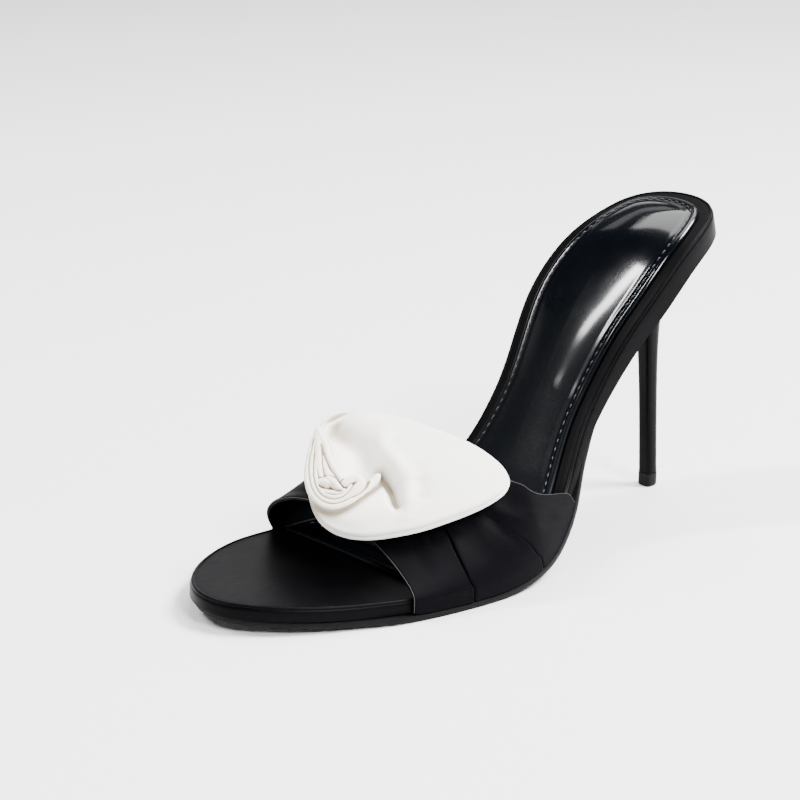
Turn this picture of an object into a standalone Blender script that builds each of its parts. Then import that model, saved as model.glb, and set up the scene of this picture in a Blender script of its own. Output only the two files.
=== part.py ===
"""Stiletto mule for the left foot, with a pleated satin vamp and a rolled satin rosette.

Metres, +Z up. The toe points to -Y, the outer side of the foot is +X, and the shoe stands on the floor
at Z = 0. Run with: blender --background --python part.py
"""
import math
from collections import namedtuple

import bmesh
import bpy
import numpy as np
from mathutils import Vector
from mathutils.bvhtree import BVHTree

# Driving sizes of the last
FOOTBED_LENGTH = 0.2062
BALL_WIDTH = 0.0786
WAIST_WIDTH = 0.0440
SEAT_WIDTH = 0.0522
SEAT_HEIGHT = 0.1038
SEAT_OVERHANG = 0.0128
TOE_SPRING = 0.0031

# Layers under the foot
FOOTBED_THICKNESS = 0.0041
SEAT_BAND = 0.0082
FOOTBED_ROUNDING = 0.0016
OUTSOLE_THICKNESS = 0.0020
OUTSOLE_ROUNDING = 0.0005
ARCH_INSET = 0.0028
SOCK_INSET = 0.0048
SOCK_EDGE = 0.0014
SOCK_CROWN = 0.0012
SOCK_ROUNDING = 0.0006
SEAM_GAP = 0.0003
SOCK_GAP = 0.0004

# Vamp
VAMP_WALL = 0.0014
VAMP_FIT = 0.0003
VAMP_INSTEP = 0.0330
VAMP_LEAN = -0.0020
VAMP_ROUNDING = 0.0004
PLEAT_DEPTH = 0.0009

# Rosette
PETAL_LENGTH = 0.0616
PETAL_WIDTH = 0.0455
PETAL_THICKNESS = 0.0085
PETAL_RIM = 0.0032
BUD_LENGTH = 0.0235
BUD_HEIGHT = 0.0085
ROSETTE_STAND = 0.0028
ROSETTE_BASE = 0.0060
ROSETTE_GAP = 0.0007
ROSETTE_AROUND = math.radians(71)
ROSETTE_PLACE = 0.50
ROSETTE_FACING = Vector((0.45, -0.45, 0.77)).normalized()
ROSETTE_TIP = Vector((0.786, 0.616, -0.100))
BUD_CENTRE = (-0.578, -0.235)

# Heel
SHAFT_WIDTH = 0.0058
SHAFT_DEPTH = 0.0063
CUP_WIDTH = 0.0400
CUP_FRONT = 0.0095
CUP_BACK = 0.0125
HEEL_LEAN = 0.0042
TOP_PIECE_HEIGHT = 0.0050
TOP_PIECE_MARGIN = 0.0001
TOP_PIECE_CHAMFER = 0.0005
# Powers of the heel outline's two halves: a round back and a flat breast with round corners
HEEL_BACK_POWER = 1.0
HEEL_BREAST_POWER = 0.45

# Turns round the rim, in radians, over which a layer's first and last rows bend to its round ends, and the
# number of rows that share the bend
TOE_TURN = 0.42
SEAT_TURN = 0.50
CAP_ROWS = 6

# Shares along the footbed, from the toe, where pieces start and end
SOCK_FRONT = 0.273
OUTSOLE_END = 0.840
BAND_START = 0.60
BAND_END = 0.82
UPRIGHT_START = 0.76
UPRIGHT_END = 0.92
UPRIGHT_SHARE = 0.40
SHAFT_FRONT_SHARE = 0.45
VAMP_FRONT_OUTER = 0.239
VAMP_FRONT_INNER = 0.272
VAMP_FRONT_CREST = 0.243
VAMP_THROAT_HEM = 0.586
VAMP_THROAT_CREST = 0.420
THROAT_SCOOP = 1.6
ARCH_POWER = 0.80
ARCH_POWER_OUTER = 1.45
ARCH_POWER_INNER = 1.00
VAMP_SKIRT = 0.12
# Cosines of the arch angle between which the front edge's power goes from the inner side's to the outer's
ARCH_BLEND = 0.5
# Share of a pleat's width over which its fold rises in front, and power by which pleats fade over the crest
PLEAT_LEAD = 0.25
PLEAT_FADE = 0.5

# Shape of the petal and the bud, as shares of their own sizes
PETAL_EDGE_HEIGHT = 0.30
PETAL_CROWN_LONG = 0.80
PETAL_CROWN_WIDE = 0.75
PETAL_SEAT = 0.7
BUD_DIP = 0.30
BUD_TURNS = 3
BUD_EDGE_HEIGHT = 0.35
BUD_GROOVE = 0.28
BUD_ROLL_POWER = 0.6
BUD_HEART = 0.85

# The last's bottom. along: share of its length from the toe; lift: share of the toe spring; rise: share of
# the seat's rise over the ball; shift: share of the ball's half width, outwards; ball, waist and seat: the
# share of each named half width that adds up to the half width here.
Station = namedtuple("Station", "along lift rise shift ball waist seat")
LAST = (
    Station(0.00, 1.00, 0.000, 0.020, 0.000, 0.00, 0.000),
    Station(0.04, 0.81, 0.000, 0.000, 0.445, 0.00, 0.000),
    Station(0.10, 0.52, 0.000, -0.020, 0.692, 0.00, 0.000),
    Station(0.18, 0.22, 0.000, -0.026, 0.884, 0.00, 0.000),
    Station(0.27, 0.00, 0.000, 0.014, 0.975, 0.00, 0.000),
    Station(0.37, 0.00, 0.000, 0.060, 1.000, 0.00, 0.000),
    Station(0.48, 0.00, 0.032, 0.090, 0.930, 0.00, 0.000),
    Station(0.58, 0.00, 0.132, 0.064, 0.300, 0.72, 0.000),
    Station(0.68, 0.00, 0.365, -0.038, 0.000, 1.00, 0.000),
    Station(0.78, 0.00, 0.659, -0.079, 0.000, 0.40, 0.660),
    Station(0.87, 0.00, 0.852, -0.033, 0.000, 0.00, 0.990),
    Station(0.94, 0.00, 0.939, -0.003, 0.000, 0.00, 0.845),
    Station(0.98, 0.00, 0.979, 0.010, 0.000, 0.00, 0.610),
    Station(1.00, 0.00, 1.000, 0.015, 0.000, 0.00, 0.000),
)

# Outsole's edge against the footbed's. wall: share of the vamp's wall and fit, outwards; arch: share of the
# arch inset, inwards.
Margin = namedtuple("Margin", "along wall arch")
OUTSOLE_MARGINS = (
    Margin(0.00, 0.00, 0.60),
    Margin(0.05, 0.00, 0.30),
    Margin(0.14, 0.20, 0.00),
    Margin(0.22, 1.10, 0.00),
    Margin(0.56, 1.10, 0.00),
    Margin(0.64, 0.30, 0.30),
    Margin(0.72, 0.00, 1.00),
    Margin(0.86, 0.00, 1.00),
)

# Height of the vamp's inner face over the footbed. height: share of the instep's height.
Crest = namedtuple("Crest", "along height")
VAMP_CRESTS = (
    Crest(0.20, 0.49),
    Crest(0.25, 0.54),
    Crest(0.30, 0.66),
    Crest(0.36, 0.82),
    Crest(0.42, 1.00),
    Crest(0.50, 1.22),
    Crest(0.60, 1.45),
)

# Pleats of the vamp. side: 1 outer, -1 inner; place: share from the front edge to the throat where the fold
# stands proud; width: share over which it fades back; depth: share of the pleat's depth.
Pleat = namedtuple("Pleat", "side place width depth")
PLEATS = (
    Pleat(1, 0.10, 0.10, 0.6),
    Pleat(1, 0.36, 0.24, 1.0),
    Pleat(-1, 0.22, 0.18, 0.9),
    Pleat(-1, 0.52, 0.28, 1.0),
)

# Heel sections. rise: share of the way from the top piece to the seat; shaft and cup: share of the shaft's
# and of the cup's size that add up here.
Section = namedtuple("Section", "rise shaft cup")
HEEL_SECTIONS = (
    Section(0.00, 0.94, 0.000),
    Section(0.14, 0.93, 0.000),
    Section(0.36, 0.95, 0.000),
    Section(0.52, 1.03, 0.000),
    Section(0.62, 1.14, 0.005),
    Section(0.70, 1.24, 0.025),
    Section(0.77, 1.32, 0.075),
    Section(0.84, 1.30, 0.190),
    Section(0.90, 1.10, 0.370),
    Section(0.95, 0.70, 0.640),
    Section(1.00, 0.00, 1.000),
)

# Petal's outline round its middle. turn: degrees from the tip, round by the rear; reach: share of the
# petal's half length.
Reach = namedtuple("Reach", "turn reach")
PETAL_OUTLINE = (
    Reach(0, 0.93),
    Reach(10, 0.965),
    Reach(22, 0.855),
    Reach(38, 0.7),
    Reach(56, 0.587),
    Reach(76, 0.545),
    Reach(96, 0.58),
    Reach(114, 0.685),
    Reach(130, 0.87),
    Reach(144, 1.08),
    Reach(158, 1.05),
    Reach(175, 0.982),
    Reach(200, 0.94),
    Reach(222, 0.927),
    Reach(240, 0.838),
    Reach(256, 0.736),
    Reach(275, 0.648),
    Reach(300, 0.614),
    Reach(325, 0.657),
    Reach(345, 0.784),
    Reach(360, 0.93),
)

SATIN_BLACK = (0.0100, 0.0095, 0.0130, 1.0)
SOCK_BLACK = (0.0080, 0.0085, 0.0110, 1.0)
SOLE_BLACK = (0.0090, 0.0085, 0.0090, 1.0)
LIFT_BLACK = (0.0120, 0.0120, 0.0125, 1.0)
SATIN_IVORY = (0.8700, 0.8450, 0.7850, 1.0)
SATIN_ROUGHNESS = 0.42
HEEL_ROUGHNESS = 0.35
IVORY_ROUGHNESS = 0.45
SOCK_ROUGHNESS = 0.30
SOCK_COAT = 0.4
SOLE_ROUGHNESS = 0.50
LIFT_ROUGHNESS = 0.45
SMOOTH_ANGLE = math.radians(40)


def column(rows, name):
    """One named column of a table."""
    return np.array([getattr(row, name) for row in rows], dtype=float)


def spline(places, values):
    """Smooth curve through the points, with even curvature."""
    gaps = np.diff(places)
    count = len(places)
    matrix = np.eye(count)
    pull = np.zeros(count)
    for i in range(1, count - 1):
        matrix[i, i - 1:i + 2] = gaps[i - 1], 2 * (gaps[i - 1] + gaps[i]), gaps[i]
        pull[i] = 6 * ((values[i + 1] - values[i]) / gaps[i] - (values[i] - values[i - 1]) / gaps[i - 1])
    bend = np.linalg.solve(matrix, pull)

    def curve(at):
        """Value of the curve at a place."""
        k = int(np.clip(np.searchsorted(places, at) - 1, 0, count - 2))
        before, after, gap = at - places[k], places[k + 1] - at, gaps[k]
        return ((bend[k] * after ** 3 + bend[k + 1] * before ** 3) / (6 * gap)
                + (values[k] / gap - bend[k] * gap / 6) * after
                + (values[k + 1] / gap - bend[k + 1] * gap / 6) * before)

    return curve


def steady(places, values):
    """Curve through the points that never swings past them, so that level stretches stay level."""
    gaps = np.diff(places)
    steps = np.diff(values) / gaps
    slopes = np.zeros(len(places))
    slopes[0], slopes[-1] = steps[0], steps[-1]
    for i in range(1, len(places) - 1):
        if steps[i - 1] * steps[i] > 0:
            near, far = 2 * gaps[i] + gaps[i - 1], gaps[i] + 2 * gaps[i - 1]
            slopes[i] = (near + far) / (near / steps[i - 1] + far / steps[i])

    def curve(at):
        """Value of the curve at a place."""
        k = int(np.clip(np.searchsorted(places, at) - 1, 0, len(places) - 2))
        t = (at - places[k]) / gaps[k]
        rise = values[k + 1] - values[k]
        return (values[k] + gaps[k] * slopes[k] * t * (1 - t) ** 2
                + rise * t * t * (3 - 2 * t) - gaps[k] * slopes[k + 1] * t * t * (1 - t))

    return curve


def ease(at, start, end):
    """0 before start, 1 after end, soft between them."""
    t = min(max((at - start) / (end - start), 0.0), 1.0)
    return t * t * (3 - 2 * t)


ALONG = column(LAST, "along")
HALF_WIDTH = spline(np.arccos(1 - 2 * ALONG), (column(LAST, "ball") * BALL_WIDTH
                                              + column(LAST, "waist") * WAIST_WIDTH
                                              + column(LAST, "seat") * SEAT_WIDTH) / 2)
SHIFT = spline(ALONG, column(LAST, "shift") * BALL_WIDTH / 2)
FOREFOOT_TOP = OUTSOLE_THICKNESS + SEAM_GAP + FOOTBED_THICKNESS
BED_TOP = steady(ALONG, FOREFOOT_TOP + column(LAST, "lift") * TOE_SPRING
                 + column(LAST, "rise") * (SEAT_HEIGHT - FOREFOOT_TOP))
CREST = steady(column(VAMP_CRESTS, "along"), column(VAMP_CRESTS, "height") * VAMP_INSTEP)
WALL_MARGIN = steady(column(OUTSOLE_MARGINS, "along"), column(OUTSOLE_MARGINS, "wall"))
ARCH_MARGIN = steady(column(OUTSOLE_MARGINS, "along"), column(OUTSOLE_MARGINS, "arch"))
TOE_Y = SEAT_OVERHANG - FOOTBED_LENGTH


def half_width(along):
    """Footbed's half width at a share of its length."""
    return max(HALF_WIDTH(math.acos(1 - 2 * min(max(along, 0.0), 1.0))), 0.0)


def share_along(y):
    """Share of the footbed's length at a place."""
    return (y - TOE_Y) / FOOTBED_LENGTH


def upwards(along):
    """Direction in which layers stack: square to the footbed, and plumb under the seat."""
    step = 0.004
    low, high = min(max(along - step, 0.0), 1.0), min(max(along + step, 0.0), 1.0)
    slope = (BED_TOP(high) - BED_TOP(low)) / ((high - low) * FOOTBED_LENGTH)
    square = Vector((0, -slope, 1)).normalized()
    share = UPRIGHT_SHARE * ease(along, UPRIGHT_START, UPRIGHT_END)
    return square.lerp(Vector((0, 0, 1)), share).normalized()


def bed_point(x, y, above=0.0):
    """Point over (or under) the footbed's top surface."""
    along = min(max(share_along(y), 0.0), 1.0)
    return Vector((x, y, BED_TOP(along))) + upwards(along) * above


def board_thickness(along):
    """Footbed's thickness, which grows to the band of the seat."""
    return FOOTBED_THICKNESS + (SEAT_BAND - FOOTBED_THICKNESS) * ease(along, BAND_START, BAND_END)


def rim_plan(turn):
    """Footbed's rim in plan; turn 0 is the toe, positive goes round by the outer side, pi is the back."""
    turn = (turn + math.pi) % (2 * math.pi) - math.pi
    along = (1 - math.cos(turn)) / 2
    half = math.copysign(max(HALF_WIDTH(abs(turn)), 0.0), turn)
    return Vector((SHIFT(along) + half, TOE_Y + along * FOOTBED_LENGTH))


def rim(turn, inset):
    """Rim in plan, moved inwards by inset at its own share of the length."""
    step = 0.02
    here = rim_plan(turn)
    run = (rim_plan(turn + step) - rim_plan(turn - step)).normalized()
    return here + Vector((-run.y, run.x)) * inset(share_along(here.y))


def bed_patch(front, back, rows, columns, inset, round_front=True, round_back=True):
    """Even grid of plan points between two turns of the rim, with its end rows bent to the round ends."""
    turns = np.linspace(front, math.pi - back, rows)
    grid = []
    for i, turn in enumerate(turns):
        inner, outer = rim(-turn, inset), rim(turn, inset)
        to_front = max(1 - i / CAP_ROWS, 0.0) ** 2 if round_front else 0.0
        to_back = max(1 - (rows - 1 - i) / CAP_ROWS, 0.0) ** 2 if round_back else 0.0
        line = []
        for across in np.linspace(-1, 1, columns):
            share = (across + 1) / 2
            point = inner.lerp(outer, share)
            if to_front:
                bow = rim(across * front, inset) - rim(-front, inset).lerp(rim(front, inset), share)
                point = point + bow * to_front
            if to_back:
                end = math.pi - back
                tip = rim(math.copysign(math.pi - abs(across) * back, across), inset)
                point = point + (tip - rim(-end, inset).lerp(rim(end, inset), share)) * to_back
            line.append((point, across))
        grid.append(line)
    return grid


def grid_mesh(grid, closed=False):
    """Mesh object data of a grid of points, as an open sheet or closed round its columns."""
    mesh = bmesh.new()
    rows = [[mesh.verts.new(point) for point in line] for line in grid]
    for near, far in zip(rows, rows[1:]):
        spans = list(zip(near, near[1:], far[1:], far))
        if closed:
            spans.append((near[-1], near[0], far[0], far[-1]))
        for corners in spans:
            mesh.faces.new(corners)
    return mesh, rows


def satin(name, colour, roughness, coat=0.0):
    """Principled material."""
    material = bpy.data.materials.new(name)
    material.use_nodes = True
    shader = material.node_tree.nodes["Principled BSDF"]
    shader.inputs["Base Color"].default_value = colour
    shader.inputs["Roughness"].default_value = roughness
    shader.inputs["Metallic"].default_value = 0.0
    shader.inputs["Coat Weight"].default_value = coat
    material.diffuse_color = colour
    return material


def add_object(name, mesh, material, collection):
    """Object with outward faces in the shoe's collection, from a bmesh, which is freed."""
    bmesh.ops.recalc_face_normals(mesh, faces=mesh.faces)
    data = bpy.data.meshes.new(name)
    mesh.to_mesh(data)
    mesh.free()
    data.shade_smooth()
    data.set_sharp_from_angle(angle=SMOOTH_ANGLE)
    data.materials.append(material)
    item = bpy.data.objects.new(name, data)
    collection.objects.link(item)
    return item


def bevel(item, width, segments=2, angle=50):
    """Rounded edges."""
    rounding = item.modifiers.new("Rounded edges", "BEVEL")
    rounding.width = width
    rounding.segments = segments
    rounding.limit_method = "ANGLE"
    rounding.angle_limit = math.radians(angle)
    rounding.use_clamp_overlap = True


def thicken_down(mesh, depth):
    """Extrudes an open sheet and drops the new face by depth along the way the layers stack."""
    sheet = mesh.faces[:]
    made = bmesh.ops.extrude_face_region(mesh, geom=sheet)["geom"]
    for vert in [piece for piece in made if isinstance(piece, bmesh.types.BMVert)]:
        along = min(max(share_along(vert.co.y), 0.0), 1.0)
        vert.co -= upwards(along) * depth(along)


def build_footbed(collection, material):
    """Insole board wrapped in satin: the last's whole bottom, thicker round the seat."""
    grid = bed_patch(TOE_TURN, SEAT_TURN, 34, 9, lambda along: 0.0)
    sheet, _ = grid_mesh([[bed_point(*point) for point, _ in line] for line in grid])
    thicken_down(sheet, board_thickness)
    footbed = add_object("footbed", sheet, material, collection)
    bevel(footbed, FOOTBED_ROUNDING, 3)
    return footbed


def build_outsole(collection, material):
    """Thin sole from the toe to the heel's breast, wide under the vamp and drawn in under the arch."""
    def inset(along):
        """Inwards from the footbed's rim."""
        return ARCH_MARGIN(along) * ARCH_INSET - WALL_MARGIN(along) * (VAMP_WALL + VAMP_FIT)

    end = math.pi - math.acos(1 - 2 * OUTSOLE_END)
    grid = bed_patch(TOE_TURN, end, 30, 9, inset, round_back=False)
    sheet, _ = grid_mesh([[bed_point(*point) for point, _ in line] for line in grid])
    for vert in sheet.verts:
        along = min(max(share_along(vert.co.y), 0.0), 1.0)
        vert.co -= upwards(along) * (board_thickness(along) + SEAM_GAP)
    sheet.verts.ensure_lookup_table()
    thicken_down(sheet, lambda along: OUTSOLE_THICKNESS)
    outsole = add_object("outsole", sheet, material, collection)
    bevel(outsole, OUTSOLE_ROUNDING, 1)
    return outsole


def build_sock(collection, material):
    """Padded sock from under the vamp's front edge to the back of the seat."""
    front = math.acos(1 - 2 * SOCK_FRONT)
    grid = bed_patch(front, SEAT_TURN, 28, 9, lambda along: SOCK_INSET, round_front=False)
    low = [[bed_point(*point, above=SOCK_GAP) for point, _ in line] for line in grid]
    sheet, rows = grid_mesh(low)
    lifts = {}
    for line, row in zip(grid, rows):
        for (_, across), vert in zip(line, row):
            lifts[vert] = SOCK_EDGE + SOCK_CROWN * (1 - across ** 2)
    made = bmesh.ops.extrude_face_region(sheet, geom=sheet.faces[:])["geom"]
    for vert in [piece for piece in made if isinstance(piece, bmesh.types.BMVert)]:
        below = min(lifts, key=lambda base: (base.co - vert.co).length_squared)
        along = min(max(share_along(vert.co.y), 0.0), 1.0)
        vert.co += upwards(along) * lifts[below]
    sock = add_object("sock_lining", sheet, material, collection)
    bevel(sock, SOCK_ROUNDING, 1)
    return sock


def signed_power(value, power):
    """Power that keeps the sign."""
    return math.copysign(abs(value) ** power, value)


def pleat_height(side, place):
    """How far the pleats stand proud at a share of the way from the front edge to the throat."""
    height = 0.0
    for pleat in PLEATS:
        if pleat.side * side > 0:
            gone = (place - pleat.place) / pleat.width
            fold = 1 - gone if 0 <= gone <= 1 else ease(gone, -PLEAT_LEAD, 0.0) if gone < 0 else 0.0
            height = max(height, pleat.depth * fold)
    return height * PLEAT_DEPTH


def vamp_edges(bow):
    """Shares along the footbed of the front edge and of the throat, at an angle of the arch."""
    over = math.sin(bow)
    hem = VAMP_FRONT_OUTER if math.cos(bow) > 0 else VAMP_FRONT_INNER
    front = VAMP_FRONT_CREST + (hem - VAMP_FRONT_CREST) * (1 - over) ** 2
    throat = VAMP_THROAT_CREST + (VAMP_THROAT_HEM - VAMP_THROAT_CREST) * (1 - over) ** THROAT_SCOOP
    return front, throat


def vamp_point(around, place):
    """Inner face of the vamp: around runs 0 to pi over the foot, place 0 to 1 from front edge to throat."""
    # Plumb skirts beside the footbed take the first and the last of the angles; the arch has the rest.
    skirt = max(1 - around / VAMP_SKIRT, 1 - (math.pi - around) / VAMP_SKIRT, 0.0)
    bow = (around - VAMP_SKIRT) / (math.pi - 2 * VAMP_SKIRT) * math.pi
    bow = min(max(bow, 0.0), math.pi)
    front, throat = vamp_edges(bow)
    along = front + (throat - front) * place
    side = math.cos(bow)
    outer = ease(side, -ARCH_BLEND, ARCH_BLEND)
    front_power = ARCH_POWER_INNER + (ARCH_POWER_OUTER - ARCH_POWER_INNER) * outer
    power = ARCH_POWER + (front_power - ARCH_POWER) * (1 - place)
    over = math.sin(bow) ** power if 0.0 < bow < math.pi else 0.0
    proud = pleat_height(side, place) * abs(side) ** PLEAT_FADE
    wide = half_width(along) + VAMP_FIT + proud
    x = SHIFT(along) + VAMP_LEAN * over + wide * signed_power(side, power)
    height = (CREST(along) + proud) * over - FOOTBED_THICKNESS * skirt
    return bed_point(x, TOE_Y + along * FOOTBED_LENGTH, height)


def build_vamp(collection, material):
    """Hollow pleated band over the foot, open at toe, throat and underneath."""
    around_steps = 30
    place_steps = 15
    # Angles are spread so that the steps round the band are even near its hems, where the arch is steep.
    arounds = [math.pi * ((1 - math.cos(math.pi * k / around_steps)) / 2 * 0.35 + k / around_steps * 0.65)
               for k in range(around_steps + 1)]
    grid = [[vamp_point(min(around, math.pi), place) for around in arounds]
            for place in np.linspace(0, 1, place_steps + 1)]
    sheet, _ = grid_mesh(grid)
    vamp = add_object("vamp", sheet, material, collection)
    wall = vamp.modifiers.new("Wall", "SOLIDIFY")
    wall.thickness = VAMP_WALL
    wall.offset = 1.0
    wall.use_even_offset = True
    bevel(vamp, VAMP_ROUNDING, 1, 60)
    return vamp


def build_heel(collection, material):
    """Slim heel with a flat breast that flares into a cup under the seat."""
    shares = np.linspace(UPRIGHT_START, 1.0, 40)
    under = [bed_point(0, TOE_Y + share * FOOTBED_LENGTH, -board_thickness(share) - SEAM_GAP)
             for share in shares]
    seat_y = [point.y for point in under]
    seat_z = [point.z for point in under]
    rings = []
    for section in HEEL_SECTIONS:
        half = section.shaft * SHAFT_WIDTH / 2 + section.cup * CUP_WIDTH / 2
        front = section.shaft * SHAFT_DEPTH * SHAFT_FRONT_SHARE + section.cup * CUP_FRONT
        back = section.shaft * SHAFT_DEPTH * (1 - SHAFT_FRONT_SHARE) + section.cup * CUP_BACK
        ring = []
        for x, y in heel_outline(half, front, back):
            y -= HEEL_LEAN * section.rise
            top = float(np.interp(y, seat_y, seat_z))
            ring.append(Vector((x, y, TOP_PIECE_HEIGHT + section.rise * (top - TOP_PIECE_HEIGHT))))
        rings.append(ring)
    return add_object("heel", ring_loft(rings), material, collection)


def heel_outline(half, front, back, steps=28):
    """Outline of the heel in plan: round at the back, flat with round corners at the breast."""
    points = []
    for k in range(steps):
        angle = 2 * math.pi * (k + 0.5) / steps
        power = HEEL_BACK_POWER if math.sin(angle) > 0 else HEEL_BREAST_POWER
        reach = back if math.sin(angle) > 0 else front
        across, deep = signed_power(math.cos(angle), power), signed_power(math.sin(angle), power)
        points.append((half * across, reach * deep))
    return points


def ring_loft(rings):
    """Closed solid through rings of equal count, its two ends closed by strips from side to side."""
    mesh, rows = grid_mesh(rings, closed=True)
    count = len(rings[0])
    quarter = count // 4
    for row in (rows[0], rows[-1]):
        # Corner k and its mirror across the width lie at the same depth.
        pairs = [(row[(quarter + k) % count], row[(quarter - 1 - k) % count]) for k in range(count // 2)]
        for (a, b), (c, d) in zip(pairs, pairs[1:]):
            mesh.faces.new((a, b, d, c))
    return mesh


def build_top_piece(collection, material):
    """Small lift under the heel with a chamfered lower edge."""
    tip = HEEL_SECTIONS[0].shaft
    half = tip * SHAFT_WIDTH / 2 + TOP_PIECE_MARGIN
    front = tip * SHAFT_DEPTH * SHAFT_FRONT_SHARE + TOP_PIECE_MARGIN
    back = tip * SHAFT_DEPTH * (1 - SHAFT_FRONT_SHARE) + TOP_PIECE_MARGIN
    rings = []
    for draw_in, z in ((TOP_PIECE_CHAMFER, 0.0), (0.0, TOP_PIECE_CHAMFER),
                       (0.0, TOP_PIECE_HEIGHT - SEAM_GAP)):
        outline = heel_outline(half - draw_in, front - draw_in, back - draw_in)
        rings.append([Vector((x, y, z)) for x, y in outline])
    return add_object("top_piece", ring_loft(rings), material, collection)


def rosette_frame():
    """Origin and axes of the rosette: along the petal to its tip, across it, and out of its face."""
    facing = ROSETTE_FACING
    tip = (ROSETTE_TIP - facing * ROSETTE_TIP.dot(facing)).normalized()
    across = facing.cross(tip)
    origin = vamp_point(ROSETTE_AROUND, ROSETTE_PLACE) + facing * (VAMP_WALL + ROSETTE_STAND)
    return origin, tip, across, facing


def petal_reach(angle):
    """Petal's outline radius at an angle from its tip."""
    curve = spline(column(PETAL_OUTLINE, "turn"), column(PETAL_OUTLINE, "reach"))
    return curve(math.degrees(angle) % 360) * PETAL_LENGTH / 2


def petal_top(u, v):
    """Height of the petal's upper face over its plane: a soft crown that dips round the bud."""
    long, wide = u / (PETAL_LENGTH / 2), v / (PETAL_WIDTH / 2)
    crown = max(1 - PETAL_CROWN_LONG * long ** 2 - PETAL_CROWN_WIDE * wide ** 2, 0.0) ** 0.5
    from_bud = math.hypot(long - BUD_CENTRE[0] - BUD_DIP, wide - BUD_CENTRE[1])
    dip = BUD_DIP * math.exp(-(from_bud / BUD_DIP) ** 2)
    return PETAL_THICKNESS * (PETAL_EDGE_HEIGHT + (1 - PETAL_EDGE_HEIGHT) * crown - dip)


def build_petal(collection, material, vamp):
    """Plump teardrop of folded satin whose underside lies on the vamp."""
    origin, tip, across, facing = rosette_frame()
    bpy.context.view_layer.update()
    tree = BVHTree.FromObject(vamp, bpy.context.evaluated_depsgraph_get())
    rounds = 40
    shares = (0.16, 0.36, 0.56, 0.74, 0.88, 0.965, 1.0)

    def top(u, v):
        """Point of the upper face."""
        return origin + tip * u + across * v + facing * petal_top(u, v)

    def bottom(u, v, share):
        """Point of the underside: under the rim's roundness, and clear of the vamp."""
        height = petal_top(u, v) - PETAL_RIM - (PETAL_THICKNESS - PETAL_RIM) * (1 - share ** 4)
        height -= ROSETTE_BASE * max(1 - (share / PETAL_SEAT) ** 2, 0.0)
        foot = origin + tip * u + across * v
        hit = tree.ray_cast(foot + facing * PETAL_THICKNESS * 2, -facing)
        if hit[0] is not None:
            floor = (hit[0] - foot).dot(facing) + ROSETTE_GAP
            height = max(height, floor)
        return foot + facing * min(height, petal_top(u, v) - PETAL_RIM / 2)

    upper, lower = [], []
    for share in shares:
        above, below = [], []
        for k in range(rounds):
            angle = 2 * math.pi * k / rounds
            reach = petal_reach(angle) * share
            u, v = reach * math.cos(angle), reach * math.sin(angle)
            above.append(top(u, v))
            below.append(bottom(u, v, share))
        upper.append(above)
        lower.append(below)
    side = []
    for above, below in zip(upper[-1], lower[-1]):
        middle = (above + below) / 2
        outwards = (middle - origin)
        outwards -= facing * outwards.dot(facing)
        side.append(middle + outwards.normalized() * (above - below).length / 2)
    mesh, rows = grid_mesh(upper + [side] + lower[::-1], closed=True)
    for row, point in ((rows[0], top(0, 0)), (rows[-1], bottom(0, 0, 0))):
        pole = mesh.verts.new(point)
        for a, b in zip(row, row[1:] + row[:1]):
            mesh.faces.new((a, b, pole))
    return add_object("rosette_petal", mesh, material, collection)


def build_bud(collection, material):
    """Rolled bud seated on the petal: three turns of satin round a small heart."""
    origin, tip, across, facing = rosette_frame()
    centre_u, centre_v = BUD_CENTRE[0] * PETAL_LENGTH / 2, BUD_CENTRE[1] * PETAL_WIDTH / 2
    rounds = 32
    shares = (0.14, 0.30, 0.46, 0.62, 0.76, 0.90, 1.0)

    def height(share, angle):
        """Bud's own height: a dome with a spiral groove between its turns."""
        turn = (share * BUD_TURNS + angle / (2 * math.pi)) % 1.0
        roll = math.sin(math.pi * turn) ** BUD_ROLL_POWER
        dome = BUD_EDGE_HEIGHT + (1 - BUD_EDGE_HEIGHT) * (1 - share ** 2)
        return BUD_HEIGHT * dome * (1 - BUD_GROOVE * (1 - roll))

    upper, lower = [], []
    for share in shares:
        above, below = [], []
        for k in range(rounds):
            angle = 2 * math.pi * k / rounds
            reach = BUD_LENGTH / 2 * share
            u = centre_u + reach * math.cos(angle)
            v = centre_v + reach * math.sin(angle)
            foot = origin + tip * u + across * v + facing * (petal_top(u, v) + ROSETTE_GAP)
            below.append(foot)
            above.append(foot + facing * height(share, angle))
        upper.append(above)
        lower.append(below)
    mesh, rows = grid_mesh(upper + lower[::-1], closed=True)
    base = origin + tip * centre_u + across * centre_v
    for row, lift in ((rows[0], BUD_HEIGHT * BUD_HEART), (rows[-1], 0.0)):
        pole = mesh.verts.new(base + facing * (petal_top(centre_u, centre_v) + ROSETTE_GAP + lift))
        for a, b in zip(row, row[1:] + row[:1]):
            mesh.faces.new((a, b, pole))
    return add_object("rosette_bud", mesh, material, collection)


def stand_on_origin(collection):
    """Moves every piece so that the origin is the middle of the bounding box, on the floor."""
    bpy.context.view_layer.update()
    graph = bpy.context.evaluated_depsgraph_get()
    corners = []
    for item in collection.objects:
        shape = item.evaluated_get(graph).to_mesh()
        corners += [item.matrix_world @ vert.co for vert in shape.vertices]
        item.evaluated_get(graph).to_mesh_clear()
    low = Vector([min(corner[axis] for corner in corners) for axis in range(3)])
    high = Vector([max(corner[axis] for corner in corners) for axis in range(3)])
    middle = (low + high) / 2
    for item in collection.objects:
        item.location -= Vector((middle.x, middle.y, low.z))


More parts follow.
